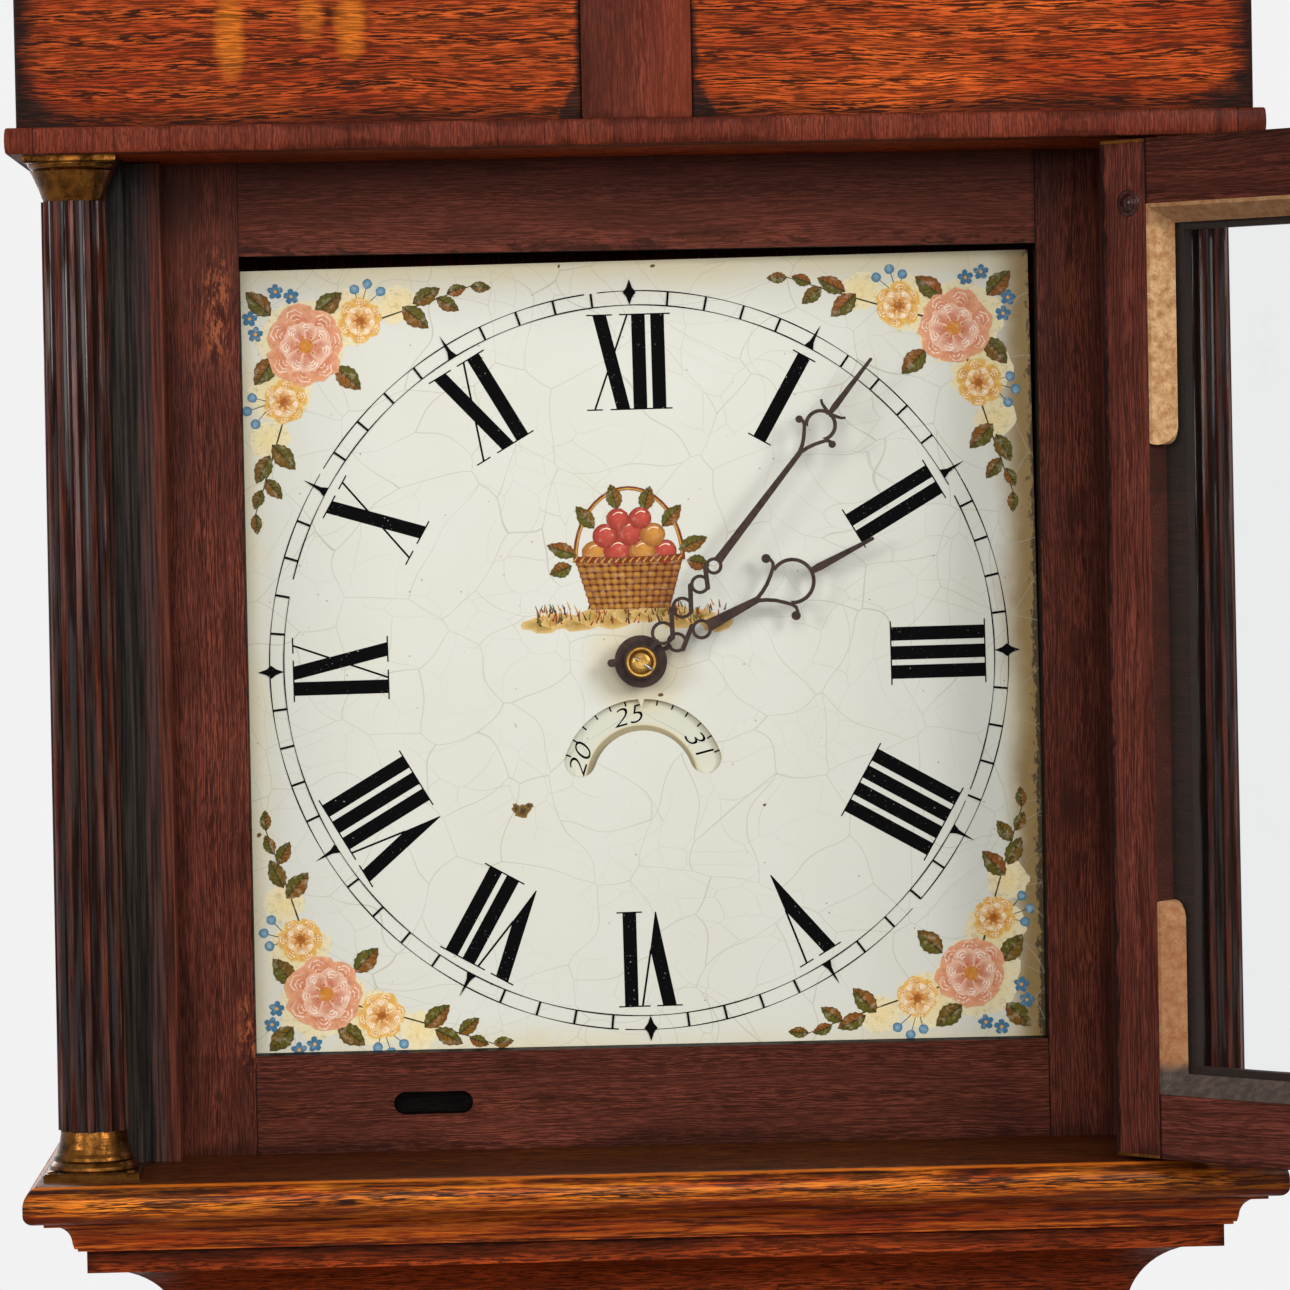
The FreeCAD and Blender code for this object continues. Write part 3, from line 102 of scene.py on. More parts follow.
class Value:
    """A shader socket that takes part in Python arithmetic."""

    def __init__(self, graph: "Graph", socket: bpy.types.NodeSocket) -> None:
        """Wraps one output socket of a graph."""
        self.graph = graph
        self.socket = socket

    def _math(self, operation: str, *inputs: Operand) -> "Value":
        """Adds one Math node."""
        return self.graph.node("ShaderNodeMath", {"operation": operation}, dict(enumerate(inputs)))

    def __add__(self, other: Operand) -> "Value":
        """Sum."""
        return self._math("ADD", self, other)

    def __sub__(self, other: Operand) -> "Value":
        """Difference."""
        return self._math("SUBTRACT", self, other)

    def __rsub__(self, other: Operand) -> "Value":
        """Difference, the socket last."""
        return self._math("SUBTRACT", other, self)

    def __mul__(self, other: Operand) -> "Value":
        """Product."""
        return self._math("MULTIPLY", self, other)

    def __truediv__(self, other: Operand) -> "Value":
        """Quotient."""
        return self._math("DIVIDE", self, other)

    def __rtruediv__(self, other: Operand) -> "Value":
        """Quotient, the socket last."""
        return self._math("DIVIDE", other, self)

    __radd__ = __add__
    __rmul__ = __mul__

    def __abs__(self) -> "Value":
        """Size without sign."""
        return self._math("ABSOLUTE", self)

    def sine(self) -> "Value":
        """Sine of the value in radians."""
        return self._math("SINE", self)

    def least(self, other: Operand) -> "Value":
        """The smaller of two."""
        return self._math("MINIMUM", self, other)

    def most(self, other: Operand) -> "Value":
        """The larger of two."""
        return self._math("MAXIMUM", self, other)

    def rise(self, low: float, high: float) -> "Value":
        """Smooth step.

        Args:
            low: value that gives 0.
            high: value that gives 1.

        Returns:
            A value from 0 to 1; the step falls where low is above high.
        """
        if low > high:
            return 1.0 - self.rise(high, low)
        settings = {"interpolation_type": "SMOOTHSTEP"}
        inputs = {"Value": self, "From Min": low, "From Max": high, "To Min": 0.0, "To Max": 1.0}
        return self.graph.node("ShaderNodeMapRange", settings, inputs)


class Graph:
    """One procedural material, or the room's light, and the nodes in it."""

    def __init__(self, name: str, world: Optional[bpy.types.World] = None) -> None:
        """Starts an empty material, or empties a world.

        Args:
            name: the material's name.
            world: the world, where the graph is the room's light.
        """
        self.material = world or bpy.data.materials.new(name)
        self.material.use_nodes = True
        self.tree = self.material.node_tree
        self.tree.nodes.clear()
        self.ending = "ShaderNodeOutputWorld" if world else "ShaderNodeOutputMaterial"

    def end(self, shader: "Value") -> None:
        """Joins the last shader to the output."""
        self.node(self.ending, None, {0: shader}, None)

    def node(
        self,
        kind: str,
        settings: Optional[Dict[str, object]] = None,
        inputs: Optional[Dict[Union[int, str], object]] = None,
        out: Union[int, str, None] = 0,
    ) -> Optional[Value]:
        """Adds any node.

        Args:
            kind: Blender's node type.
            settings: properties, set before the sockets.
            inputs: values or links by socket name or number.
            out: the output to wrap, or None for a node that has none.

        Returns:
            The wrapped output.
        """
        made = self.tree.nodes.new(kind)
        for key, value in (settings or {}).items():
            setattr(made, key, value)
        for key, value in (inputs or {}).items():
            self.feed(made.inputs[key], value)
        return None if out is None else Value(self, made.outputs[out])

    def feed(self, socket: bpy.types.NodeSocket, value: object) -> None:
        """Links or sets one input socket.

        Args:
            socket: the socket.
            value: a wrapped socket, a colour, a vector or a number.
        """
        if isinstance(value, Value):
            self.tree.links.new(value.socket, socket)
        elif isinstance(value, (tuple, list)) and socket.type == "RGBA":
            socket.default_value = (*value[:3], 1.0)
        else:
            socket.default_value = value

    def mix(self, share: Operand, a: object, b: object, mode: str = "MIX") -> Value:
        """Mixes two colours."""
        settings = {"data_type": "RGBA", "blend_type": mode, "clamp_factor": True}
        return self.node("ShaderNodeMix", settings, {0: share, 6: a, 7: b}, 2)

    def noise(self, vector: Value, detail: float = 2.0, rough: float = 0.5) -> Value:
        """Noise of unit scale at a vector."""
        inputs = {"Vector": vector, "Scale": 1.0, "Detail": detail, "Roughness": rough}
        return self.node("ShaderNodeTexNoise", {"noise_dimensions": "3D"}, inputs)

    def drawn(self, run: Place, long: float, wide: float, detail: float = 2.0, rough: float = 0.5) -> Value:
        """Noise drawn out along the first direction, with its spans in millimetres."""
        along, over, deep = run
        return self.noise(self.join(along / long, over / wide, deep / wide), detail, rough)

    def lumps(self, place: Place, size: float, detail: float, rough: float = 0.5) -> Value:
        """Noise with the same span in millimetres each way."""
        return self.drawn(place, size, size, detail, rough)

    def flat(
        self, x: Value, up: Value, size: float, layer: float, detail: float, rough: float = 0.5
    ) -> Value:
        """Noise over a flat face, with its span in millimetres and a layer that sets it apart."""
        return self.noise(self.join(x / size, up / size, layer), detail, rough)

    def cells(self, vector: Value, feature: str) -> Value:
        """Flat cell pattern of unit scale at a vector."""
        settings = {"voronoi_dimensions": "2D", "feature": feature}
        return self.node("ShaderNodeTexVoronoi", settings, {"Vector": vector, "Scale": 1.0}, "Distance")

    def join(self, x: Operand, y: Operand, z: Operand) -> Value:
        """Vector from three values."""
        return self.node("ShaderNodeCombineXYZ", None, {0: x, 1: y, 2: z})

    def split(self, vector: Value) -> Place:
        """Three values of a vector."""
        outs = self.node("ShaderNodeSeparateXYZ", None, {0: vector}).socket.node.outputs
        return tuple(Value(self, out) for out in outs)

    def place(self, door: bool = False) -> Place:
        """Place on the piece in millimetres.

        Args:
            door: count as if the hood door were shut.

        Returns:
            x, y and z.
        """
        where = self.node("ShaderNodeTexCoord", None, None, "Object")
        where = self.node("ShaderNodeVectorMath", {"operation": "SCALE"}, {0: where, 3: PER_METRE})
        if door:
            inputs = {"Vector": where, "Center": DOOR_PIVOT, "Angle": math.radians(-DOOR_OPEN)}
            where = self.node("ShaderNodeVectorRotate", {"rotation_type": "Z_AXIS"}, inputs)
        return self.split(where)

    def surface(self, height: Value, relief: float, **sockets: object) -> None:
        """Ends the material in one principled shader.

        Args:
            height: bump height, 0 to 1.
            relief: depth of the bump in metres.
            sockets: principled inputs with underscores for spaces.
        """
        inputs = {key.replace("_", " "): value for key, value in sockets.items()}
        bump = {"Height": height, "Strength": 0.7, "Distance": relief}
        inputs["Normal"] = self.node("ShaderNodeBump", None, bump)
        self.end(self.node("ShaderNodeBsdfPrincipled", None, inputs))


@dataclass(frozen=True)
class Stain:
    """A pale or dark patch on a board, at a place in millimetres."""

    across: float
    up: float
    half_across: float
    half_up: float
    colour: Colour
    strength: float

    def lay(self, g: Graph, colour: Value, place: Place, uneven: Value, pores: Value) -> Value:
        """Lays the patch on a board.

        Args:
            g: the board's graph.
            colour: the board's colour.
            place: place on the board in millimetres.
            uneven: what frays the patch's edge.
            pores: share of open pores, which take less of the patch.

        Returns:
            The colour with the patch.
        """
        dx = (place[0] - self.across) / self.half_across
        dz = (place[2] - self.up) / self.half_up
        share = (dx * dx + dz * dz + uneven).rise(1.5, 0.1) * self.strength
        return g.mix(share * (1.0 - pores * 0.6), colour, self.colour)


@dataclass(frozen=True)
class Timber:
    """A polished wood with pores, growth figure and fibres, darkened towards its corners partly by soot and
    partly as painted shade.
    """

    name: str
    pore: Colour
    mid: Colour
    light: Colour
    soot: Colour = tint(26, 12, 6)
    soot_reach: float = 9.0
    soot_share: float = 0.75
    pore_long: float = 7.0
    pore_wide: float = 0.95
    pore_share: float = 0.8
    pore_from: float = 0.48
    figure_mm: float = 9.0
    sway_mm: float = 8.0
    rough: float = 0.36
    coat: float = 0.03
    coat_rough: float = 0.25
    shine: float = 0.04
    patina: float = 0.0
    fibre_share: float = 0.5
    wear: Colour = tint(142, 66, 34)
    wear_share: float = 0.0

    @staticmethod
    def fibres(place: Place, piece: str, grain: Grain, cross: Optional[Point]) -> Place:
        """Follows the fibres of one board, shifted by the board's name.

        Args:
            place: place on the board in millimetres.
            piece: the board's name, which shifts its figure.
            grain: the way the fibres run.
            cross: x limits outside which the fibres run upright.

        Returns:
            Millimetres along the fibres, over the face and into the board.
        """
        x, y, z = place
        along, over = (x, z) if grain is Grain.ACROSS else (z, x)
        if cross is not None:
            left, right = cross
            upright = x.rise(left - JOINT_NEAR, left - JOINT_FAR)
            upright = upright.most(x.rise(right + JOINT_NEAR, right + JOINT_FAR))
            rest = 1.0 - upright
            along = z * upright + x * rest + upright * SHIFT_UPRIGHT
            over = x * upright + z * rest
        shift = float(sum((i + 3) * ord(c) for i, c in enumerate(piece)) % SHIFTS)
        return along + shift * SHIFT_ALONG, over + shift * SHIFT_OVER, y

    def worn(self, g: Graph, colour: Value, run: Place) -> Value:
        """Scuffs the polish and leaves grime beside the scuffs.

        Args:
            g: the board's graph.
            colour: the board's colour.
            run: millimetres along the fibres, over the face and into the board.

        Returns:
            The worn colour.
        """
        along, over, deep = run
        scuff = g.drawn(run, 22.0, 9.0, 4.0, 0.65).rise(0.6, 0.68)
        colour = g.mix(scuff * self.wear_share, colour, self.wear)
        grime = g.noise(g.join(over / 11.0, along / 24.0, deep / 9.0), 4.0, 0.7).rise(0.64, 0.71)
        return g.mix(grime * self.wear_share, colour, self.soot)

    def cut(
        self,
        piece: str,
        grain: Grain,
        box: Box,
        door: bool = False,
        stains: Sequence[Stain] = (),
        recolour: Optional[Recolour] = None,
        cross: Optional[Point] = None,
    ) -> bpy.types.Material:
        """Makes the material of one board.

        Args:
            piece: the board's name, which also shifts its figure.
            grain: the way the fibres run.
            box: lowest and highest corner in millimetres, for the soot and painted shade along the edges.
            door: count places as if the hood door were shut.
            stains: pale or dark patches.
            recolour: last change to the colour.
            cross: x limits outside which the fibres run upright.

        Returns:
            The material.
        """
        g = Graph(self.name + "." + piece)
        place = g.place(door)
        run = self.fibres(place, piece, grain, cross)
        along, over, deep = run
        sway = g.drawn(run, 95.0, 26.0) - 0.5
        ripple = g.drawn(run, 16.0, 7.0, 1.0) - 0.5
        bent = (along, over + (sway + ripple * 0.125) * self.sway_mm, deep)
        ring = (bent[1] * (2.0 * math.pi / self.figure_mm)).sine() * 0.5 + 0.5
        speck = g.drawn(bent, self.pore_long, self.pore_wide, 2.0, 0.6)
        pores = speck.rise(self.pore_from, self.pore_from + 0.07) * (ring * 0.3 + 0.7)
        fibre = g.drawn(bent, 34.0, 0.42)
        cloud = g.drawn(run, 70.0, 24.0, 3.0)
        colour = g.mix(cloud.rise(0.32, 0.72) * 0.65 + ring * 0.3, self.mid, self.light)
        if self.patina > 0.0:
            age = g.drawn(run, 42.0, 5.5, 4.0, 0.65)
            colour = g.mix(age.rise(0.48, 0.64) * self.patina, colour, self.soot)
        colour = g.mix(fibre.rise(0.56, 0.4) * self.fibre_share, colour, self.pore)
        colour = g.mix(pores * self.pore_share, colour, self.pore)
        for stain in stains:
            colour = stain.lay(g, colour, place, (cloud - 0.5) * 2.0 + ripple * 1.4, pores)
        if self.wear_share > 0.0:
            colour = self.worn(g, colour, run)
        # Soot and painted shade: the board darkens towards the edges of its box, where it meets its
        # neighbours, and the dirt there also roughens it.
        across, back, up = [(v - a).least(b - v) for v, a, b in zip(place, *box)]
        edge = across.least(back).most(across.most(back).least(up))
        dirt = (edge + (cloud - 0.5) * 12.0 + ripple * 5.0).rise(self.soot_reach, 0.0)
        colour = g.mix(dirt * self.soot_share, colour, self.soot)
        if recolour is not None:
            colour = recolour(g, colour, place)
        polish: Operand = self.coat
        if self.coat > 0.5:
            polish = g.drawn(run, 45.0, 2.2, 4.0, 0.6).rise(0.4, 0.6) * self.coat
        g.surface(
            fibre * 0.3 + (1.0 - pores) * 0.6,
            0.00025,
            Base_Color=colour,
            Roughness=self.rough + pores * 0.22 + dirt * 0.2 + (cloud - 0.5) * 0.16,
            Coat_Weight=polish,
            Coat_Roughness=self.coat_rough,
            Specular_IOR_Level=self.shine,
        )
        return g.material


OAK = Timber(
    "oak", tint(36, 8, 0), tint(150, 47, 9), tint(206, 92, 30), soot=tint(24, 9, 5), pore_long=9.0,
    pore_wide=0.52, pore_share=0.97, pore_from=0.46, patina=0.3, fibre_share=0.45,
)
OAK_DRY = replace(OAK, name="dry_oak", rough=0.72, coat=0.0, shine=0.02)
OAK_DARK = Timber(
    "dark_oak", tint(36, 11, 2), tint(128, 46, 14), tint(178, 74, 30), pore_wide=0.7, patina=0.3,
)
NOSE_OAK = Timber(
    "nose_oak", tint(20, 6, 1), tint(166, 58, 12), tint(255, 146, 42), soot=tint(38, 13, 3), coat=0.12,
    soot_reach=3.0, soot_share=0.4, pore_long=10.0, pore_wide=0.5, pore_share=0.97, pore_from=0.48,
    patina=0.6,
)
MAHOGANY = Timber(
    "mahogany", tint(36, 13, 8), tint(98, 48, 36), tint(136, 69, 52), soot_share=0.55, soot_reach=7.0,
    pore_long=7.0, pore_wide=0.5, pore_share=0.7, figure_mm=15.0, rough=0.46, patina=0.3,
    fibre_share=0.65, wear_share=0.14,
)
DOOR_WOOD = Timber(
    "door_mahogany", tint(42, 16, 11), tint(96, 47, 36), tint(132, 67, 53), soot_share=0.5, soot_reach=4.0,
    fibre_share=0.65, patina=0.25, pore_long=7.0, pore_wide=0.5, pore_share=0.65, figure_mm=12.0, rough=0.44,
)
BANDING = Timber(
    "banding", tint(50, 17, 9), tint(100, 40, 25), tint(130, 60, 40), soot_share=0.4, soot_reach=2.0,
    pore_long=5.0, pore_wide=0.6, pore_share=0.5, figure_mm=11.0, rough=0.44,
)
EBONY_STAIN = Timber(
    "stained_column", tint(9, 4, 3), tint(46, 19, 12), tint(92, 40, 25), soot_share=0.5, soot_reach=6.0,
    pore_long=24.0, pore_wide=0.7, pore_share=0.6, figure_mm=5.0, sway_mm=0.8, rough=0.4, coat=0.55,
    coat_rough=0.1,
)


@dataclass(frozen=True)
class Metal:
    """A metal with a patina that gathers in clouds and specks."""

    name: str
    bright: Colour
    dull: Colour
    rough_low: float
    rough_high: float
    cloud_mm: float = 5.0
    metallic: float = 1.0
    pitting: float = 0.00004
    shine: float = 0.5

    def make(self) -> bpy.types.Material:
        """Makes the material.

        Returns:
            The material.
        """
        g = Graph(self.name)
        place = g.place()
        cloud = g.lumps(place, self.cloud_mm, 5.0, 0.62)
        fine = g.lumps(place, 0.7, 3.0, 0.6)
        age = (cloud * 0.75 + fine * 0.25).rise(0.36, 0.66)
        colour = g.mix(age, self.bright, self.dull)
        colour = g.mix(fine.rise(0.66, 0.74) * 0.5, colour, blend(self.dull, BLACK, 0.6))
        rough = self.rough_low + age * (self.rough_high - self.rough_low)
        g.surface(
            fine * 0.6 + cloud * 0.4,
            self.pitting,
            Base_Color=colour,
            Roughness=rough,
            Metallic=self.metallic,
            Specular_IOR_Level=self.shine,
        )
        return g.material


AGED_BRASS = Metal("aged_brass", tint(106, 66, 26), tint(42, 24, 8), 0.18, 0.48, 6.0)
CLOCK_BRASS = Metal("clock_brass", tint(184, 146, 78), tint(120, 88, 42), 0.22, 0.42, 14.0)
HAND_IRON = Metal("hand_iron", tint(56, 36, 28), tint(34, 22, 18), 0.4, 0.6, 3.0, 0.1, shine=0.2)
STEEL = Metal("arbor_steel", tint(150, 148, 146), tint(92, 88, 84), 0.28, 0.5, 9.0)
CAST_IRON = Metal("cast_iron", tint(62, 60, 58), tint(38, 34, 31), 0.5, 0.75, 6.0, 0.6, 0.0003)


@dataclass(frozen=True)
class DialPaint:
    """Cream enamel-like paint with a net of fine cracks, yellowed towards its edges."""

    name: str = "dial_cream"
    cream: Colour = tint(210, 210, 199)
    aged: Colour = tint(206, 188, 140)
    crack: Colour = tint(168, 164, 146)
    speck: Colour = tint(128, 74, 50)
    # Brown of the right edge: staining together with painted shadow of the mask.
    browned: Colour = tint(134, 106, 54)
    chipped: Colour = tint(40, 32, 20)
    grimy: Colour = tint(86, 70, 40)
    warp_mm: float = 44.0
    well: float = 0.0

    def make(self) -> bpy.types.Material:
        """Makes the material.

        Returns:
            The material.
        """
        g = Graph(self.name)
        x, _, z = g.place()
        up = z - DIAL_Z
        cloud = g.flat(x, up, 38.0, 1.0, 4.0, 0.6)
        bent_x = x + (g.flat(x, up, self.warp_mm, 7.0, 0.6) - 0.5) * self.warp_mm
        bent_z = up + (g.flat(x, up, self.warp_mm, 19.0, 0.6) - 0.5) * self.warp_mm
        wide = g.cells(g.join(bent_x / 27.0, bent_z / 27.0, 0.0), "DISTANCE_TO_EDGE")
        fine = g.cells(g.join(bent_x / 15.0 + 40.0, bent_z / 13.0 + 17.0, 0.0), "DISTANCE_TO_EDGE")
        where = g.flat(x, up, 60.0, 31.0, 1.0)
        net = wide.rise(0.0105, 0.002) * 0.6
        net = net.most(fine.rise(0.016, 0.003) * where.rise(0.36, 0.6) * 0.4)
        net = net * (cloud.rise(0.3, 0.6) * 0.5 + 0.5)
        edge = (DIAL_HALF - abs(x)).least(DIAL_HALF - abs(up))
        yellow = (edge + (cloud - 0.5) * 26.0).rise(17.0, -3.0)
        # Painted shadow of the mask's right stile, mixed with brown staining, along the dial's right edge.
        right = (x + (cloud - 0.5) * 14.0).rise(135.0, 149.0)
        hub = (x * x + up * up + (cloud - 0.5) * 700.0).rise(620.0, 60.0)
        colour = g.mix(cloud.rise(0.35, 0.75) * 0.25, self.cream, blend(self.cream, self.aged, 0.4))
        colour = g.mix(yellow * 0.7, colour, self.aged)
        colour = g.mix(right * 0.95, colour, self.browned)
        chip = g.noise(g.join(x / 2.2, up / 5.0, 53.0), 4.0, 0.7)
        colour = g.mix((x + (chip - 0.5) * 12.0).rise(150.0, 151.4) * 0.85, colour, self.chipped)
        colour = g.mix(hub * 0.55, colour, self.aged)
        # Painted shade where the plate's aperture edges overhang the date disc: dulled and darkened rings
        # near the outer and inner arcs.
        if self.well > 0.0:
            reach = x * x + (up + self.well) * (up + self.well)
            dull = reach.rise(900.0, 1030.0).most(reach.rise(500.0, 455.0))
            dark = reach.rise(985.0, 1050.0).most(reach.rise(470.0, 440.0))
            colour = g.mix(dull * 0.7, colour, self.aged)
            colour = g.mix(dark * 0.6, colour, self.grimy)
        colour = g.mix(net, colour, self.crack)
        dots = g.cells(g.join(x / 8.0, up / 8.0, 3.0), "F1")
        chance = g.flat(x, up, 9.0, 43.0, 1.0).rise(0.6, 0.7)
        colour = g.mix(dots.rise(0.05, 0.03) * chance * 0.7, colour, self.speck)
        rough = 0.34 + cloud * 0.12 + net * 0.3
        g.surface(cloud, 0.00004, Base_Color=colour, Roughness=rough, Specular_IOR_Level=0.2)
        return g.material


@dataclass(frozen=True)
class BrushPaint:
    """Artist's paint whose colour comes from the strokes, broken by small losses."""

    name: str
    loss: float
    hand: float = 0.0
    ground: Colour = tint(222, 220, 202)
    pale: Colour = tint(250, 232, 200)
    dark: Colour = tint(70, 40, 18)
    rough: float = 0.42
    shine: float = 0.12

    def make(self) -> bpy.types.Material:
        """Makes the material.

        Returns:
            The material.
        """
        g = Graph(self.name)
        x, _, z = g.place()
        up = z - DIAL_Z
        colour = g.node("ShaderNodeVertexColor", {"layer_name": "tint"})
        streak = g.flat(x, up, 0.8, 2.0, 3.0, 0.6)
        sweep = g.flat(x, up, 2.6, 23.0, 3.0, 0.6)
        colour = g.mix(sweep.rise(0.5, 0.72) * self.hand, colour, self.pale)
        colour = g.mix(sweep.rise(0.48, 0.3) * self.hand, colour, self.dark)
        colour = g.mix((streak - 0.45) * 0.5, colour, BLACK)
        flake = g.flat(x, up, 1.1, 11.0, 3.0, 0.7).rise(0.66, 0.7)
        area = g.flat(x, up, 16.0, 17.0, 2.0).rise(0.4, 0.62)
        colour = g.mix(flake * area * self.loss, colour, self.ground)
        rough = self.rough + (streak - 0.5) * 0.2
        g.surface(streak, 0.00003, Base_Color=colour, Roughness=rough, Specular_IOR_Level=self.shine)
        return g.material


@dataclass(frozen=True)
class Putty:
    """Dried glazing putty, tan and granular, grey with dirt along the bottom rail."""

    name: str = "glazing_putty"
    dull: Colour = tint(166, 112, 62)
    fresh: Colour = tint(214, 172, 122)
    grain: Colour = tint(96, 58, 28)
    smoked: Colour = tint(112, 64, 28)
    browned: Colour = tint(132, 68, 28)
    dirt: Colour = tint(40, 35, 31)
    dust: Colour = tint(72, 63, 56)
    top_z: float = 1795.0
    foot_z: float = 1600.0
    rail_z: float = 1494.0

    def make(self) -> bpy.types.Material:
        """Makes the material.

        Returns:
            The material.
        """
        g = Graph(self.name)
        place = g.place(True)
        z = place[2]
        lump = g.lumps(place, 3.4, 4.0, 0.65)
        grit = g.lumps(place, 0.6, 3.0, 0.7)
        colour = g.mix(lump.rise(0.3, 0.7), self.dull, self.fresh)
        colour = g.mix(grit.rise(0.56, 0.7) * 0.7, colour, self.grain)
        cloud = g.lumps(place, 19.0, 3.0)
        top = (z + (cloud - 0.5) * 6.0).rise(self.top_z, self.top_z + 5.0)
        colour = g.mix(top * 0.55, colour, self.smoked)
        foot = (z + (cloud - 0.5) * 50.0).rise(self.foot_z, self.foot_z - 70.0)
        colour = g.mix(foot * 0.62, colour, self.browned)
        low = (z + (cloud - 0.5) * 8.0).rise(self.rail_z, self.rail_z - 6.0)
        colour = g.mix(low * 0.95, colour, g.mix(lump.rise(0.4, 0.66), self.dirt, self.dust))
        g.surface(lump * 0.6 + grit * 0.4, 0.0016, Base_Color=colour, Roughness=0.66 + grit * 0.2)
        return g.material


@dataclass(frozen=True)
class Pane:
    """Clear window glass, a little grey where dust lies."""

    name: str = "window_glass"

    def make(self) -> bpy.types.Material:
        """Makes the material.

        Returns:
            The material.
        """
        g = Graph(self.name)
        dust = g.lumps(g.place(True), 22.0, 5.0, 0.65)
        shine = g.node("ShaderNodeFresnel", None, {"IOR": 1.45})
        clear = g.node("ShaderNodeBsdfTransparent", None, {"Color": (0.975, 0.985, 0.98)})
        mirror = {"Base Color": (0.05, 0.055, 0.055), "Roughness": 0.03}
        gloss = g.node("ShaderNodeBsdfPrincipled", None, mirror)
        outside = 1.0 - g.node("ShaderNodeNewGeometry", None, None, "Backfacing")
        share = shine * outside * 0.8 + dust.rise(0.55, 0.8) * 0.02
        g.end(g.node("ShaderNodeMixShader", None, {0: share, 1: clear, 2: gloss}))
        return g.material


def dress(node: str, material: bpy.types.Material, soften: float = 0.0) -> bpy.types.Object:
    """Gives a CAD node its material, and softens its edges.

    Args:
        node: the node's name.
        material: the finish.
        soften: bevel width in millimetres, or 0 for none.

    Returns:
        The node's object.
    """
    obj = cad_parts[node]
    if not obj.material_slots:
        obj.data.materials.append(material)
    for slot in obj.material_slots:
        slot.material = material
    if soften > 0.0:
        weld = obj.modifiers.new("weld", "WELD")
        weld.merge_threshold = 0.00001
        bevel = obj.modifiers.new("soft_edge", "BEVEL")
        bevel.width = soften / PER_METRE
        bevel.segments = 2
        bevel.limit_method = "ANGLE"
        bevel.angle_limit = math.radians(40.0)
        bevel.harden_normals = False
    log.info("dressed %s in %s", node, material.name)
    return obj


def box_mm(node: str) -> Box:
    """Box of a CAD node in millimetres."""
    low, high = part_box(node)
    return ([PER_METRE * v for v in low], [PER_METRE * v for v in high])


def solid(name: str, verts: Iterable[Sequence[float]], faces: Iterable[Sequence[int]], body: str,
          material: bpy.types.Material, smooth: bool = True) -> bpy.types.Object:
    """Makes a new piece from millimetre points and lets it ride on a body.

    Args:
        name: the piece's name.
        verts: points in millimetres.
        faces: point numbers of each face.
        body: the body that carries the piece.
        material: the finish.
        smooth: shade it smooth.

    Returns:
        The piece.
    """
    mesh = bpy.data.meshes.new(name)
    mesh.from_pydata([tuple(c / PER_METRE for c in v) for v in verts], [], [tuple(f) for f in faces])
    mesh.validate()
    mesh.materials.append(material)
    for polygon in mesh.polygons:
        polygon.use_smooth = smooth
    obj = bpy.data.objects.new(name, mesh)
    bpy.context.scene.collection.objects.link(obj)
    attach(obj, body)
    log.info("built %s on %s", name, body)
    return obj


def join_shapes(shapes: Iterable[Shape]) -> Shape:
    """Joins several shapes into one.

    Args:
        shapes: points and faces of each shape.

    Returns:
        Points and faces of them all.
    """
    verts: List[Spot] = []
    faces: List[List[int]] = []
    for points, sides in shapes:
        faces += [[len(verts) + i for i in side] for side in sides]
        verts += points
    return verts, faces


def colour_points(obj: bpy.types.Object, colours: Iterable[Colour]) -> None:
    """Stores the colour of each point of a painted piece.

    Args:
        obj: the piece.
        colours: one colour for each point.
    """
    layer = obj.data.color_attributes.new("tint", "FLOAT_COLOR", "POINT")
    for item, colour in zip(layer.data, colours):
        item.color = (*colour, 1.0)


def turned(point: Point, degrees: float, centre: Point = (0.0, 0.0)) -> Point:
    """Turns a point anticlockwise and moves it to a centre.

    Args:
        point: the point about its own middle.
        degrees: the turn.
        centre: where the middle goes.

    Returns:
        The moved point.
    """
    c, s = math.cos(math.radians(degrees)), math.sin(math.radians(degrees))
    return (centre[0] + point[0] * c - point[1] * s, centre[1] + point[0] * s + point[1] * c)


def lathe(profile: Sequence[Point], centre: Sequence[float], axis: Sequence[float], turns: int) -> Shape:
    """Turned shape about an axis.

    Args:
        profile: (radius, height) pairs from foot to tip.
        centre: foot of the axis in millimetres.
        axis: direction of height.
        turns: points round the axis.

    Returns:
        Points and faces.
    """
    way = Vector(axis).normalized()
    side = way.orthogonal().normalized()
    other = way.cross(side)
    verts: List[Spot] = []
    faces: List[List[int]] = []
    for radius, height in profile:
        for i in range(turns):
            a = 2.0 * math.pi * i / turns
            p = Vector(centre) + way * height + (side * math.cos(a) + other * math.sin(a)) * radius
            verts.append(tuple(p))
    for ring in range(len(profile) - 1):
        for i in range(turns):
            j = (i + 1) % turns
            faces.append([ring * turns + i, ring * turns + j, (ring + 1) * turns + j, (ring + 1) * turns + i])
    faces.append(list(reversed(range(turns))))
    faces.append([(len(profile) - 1) * turns + i for i in range(turns)])
    return verts, faces


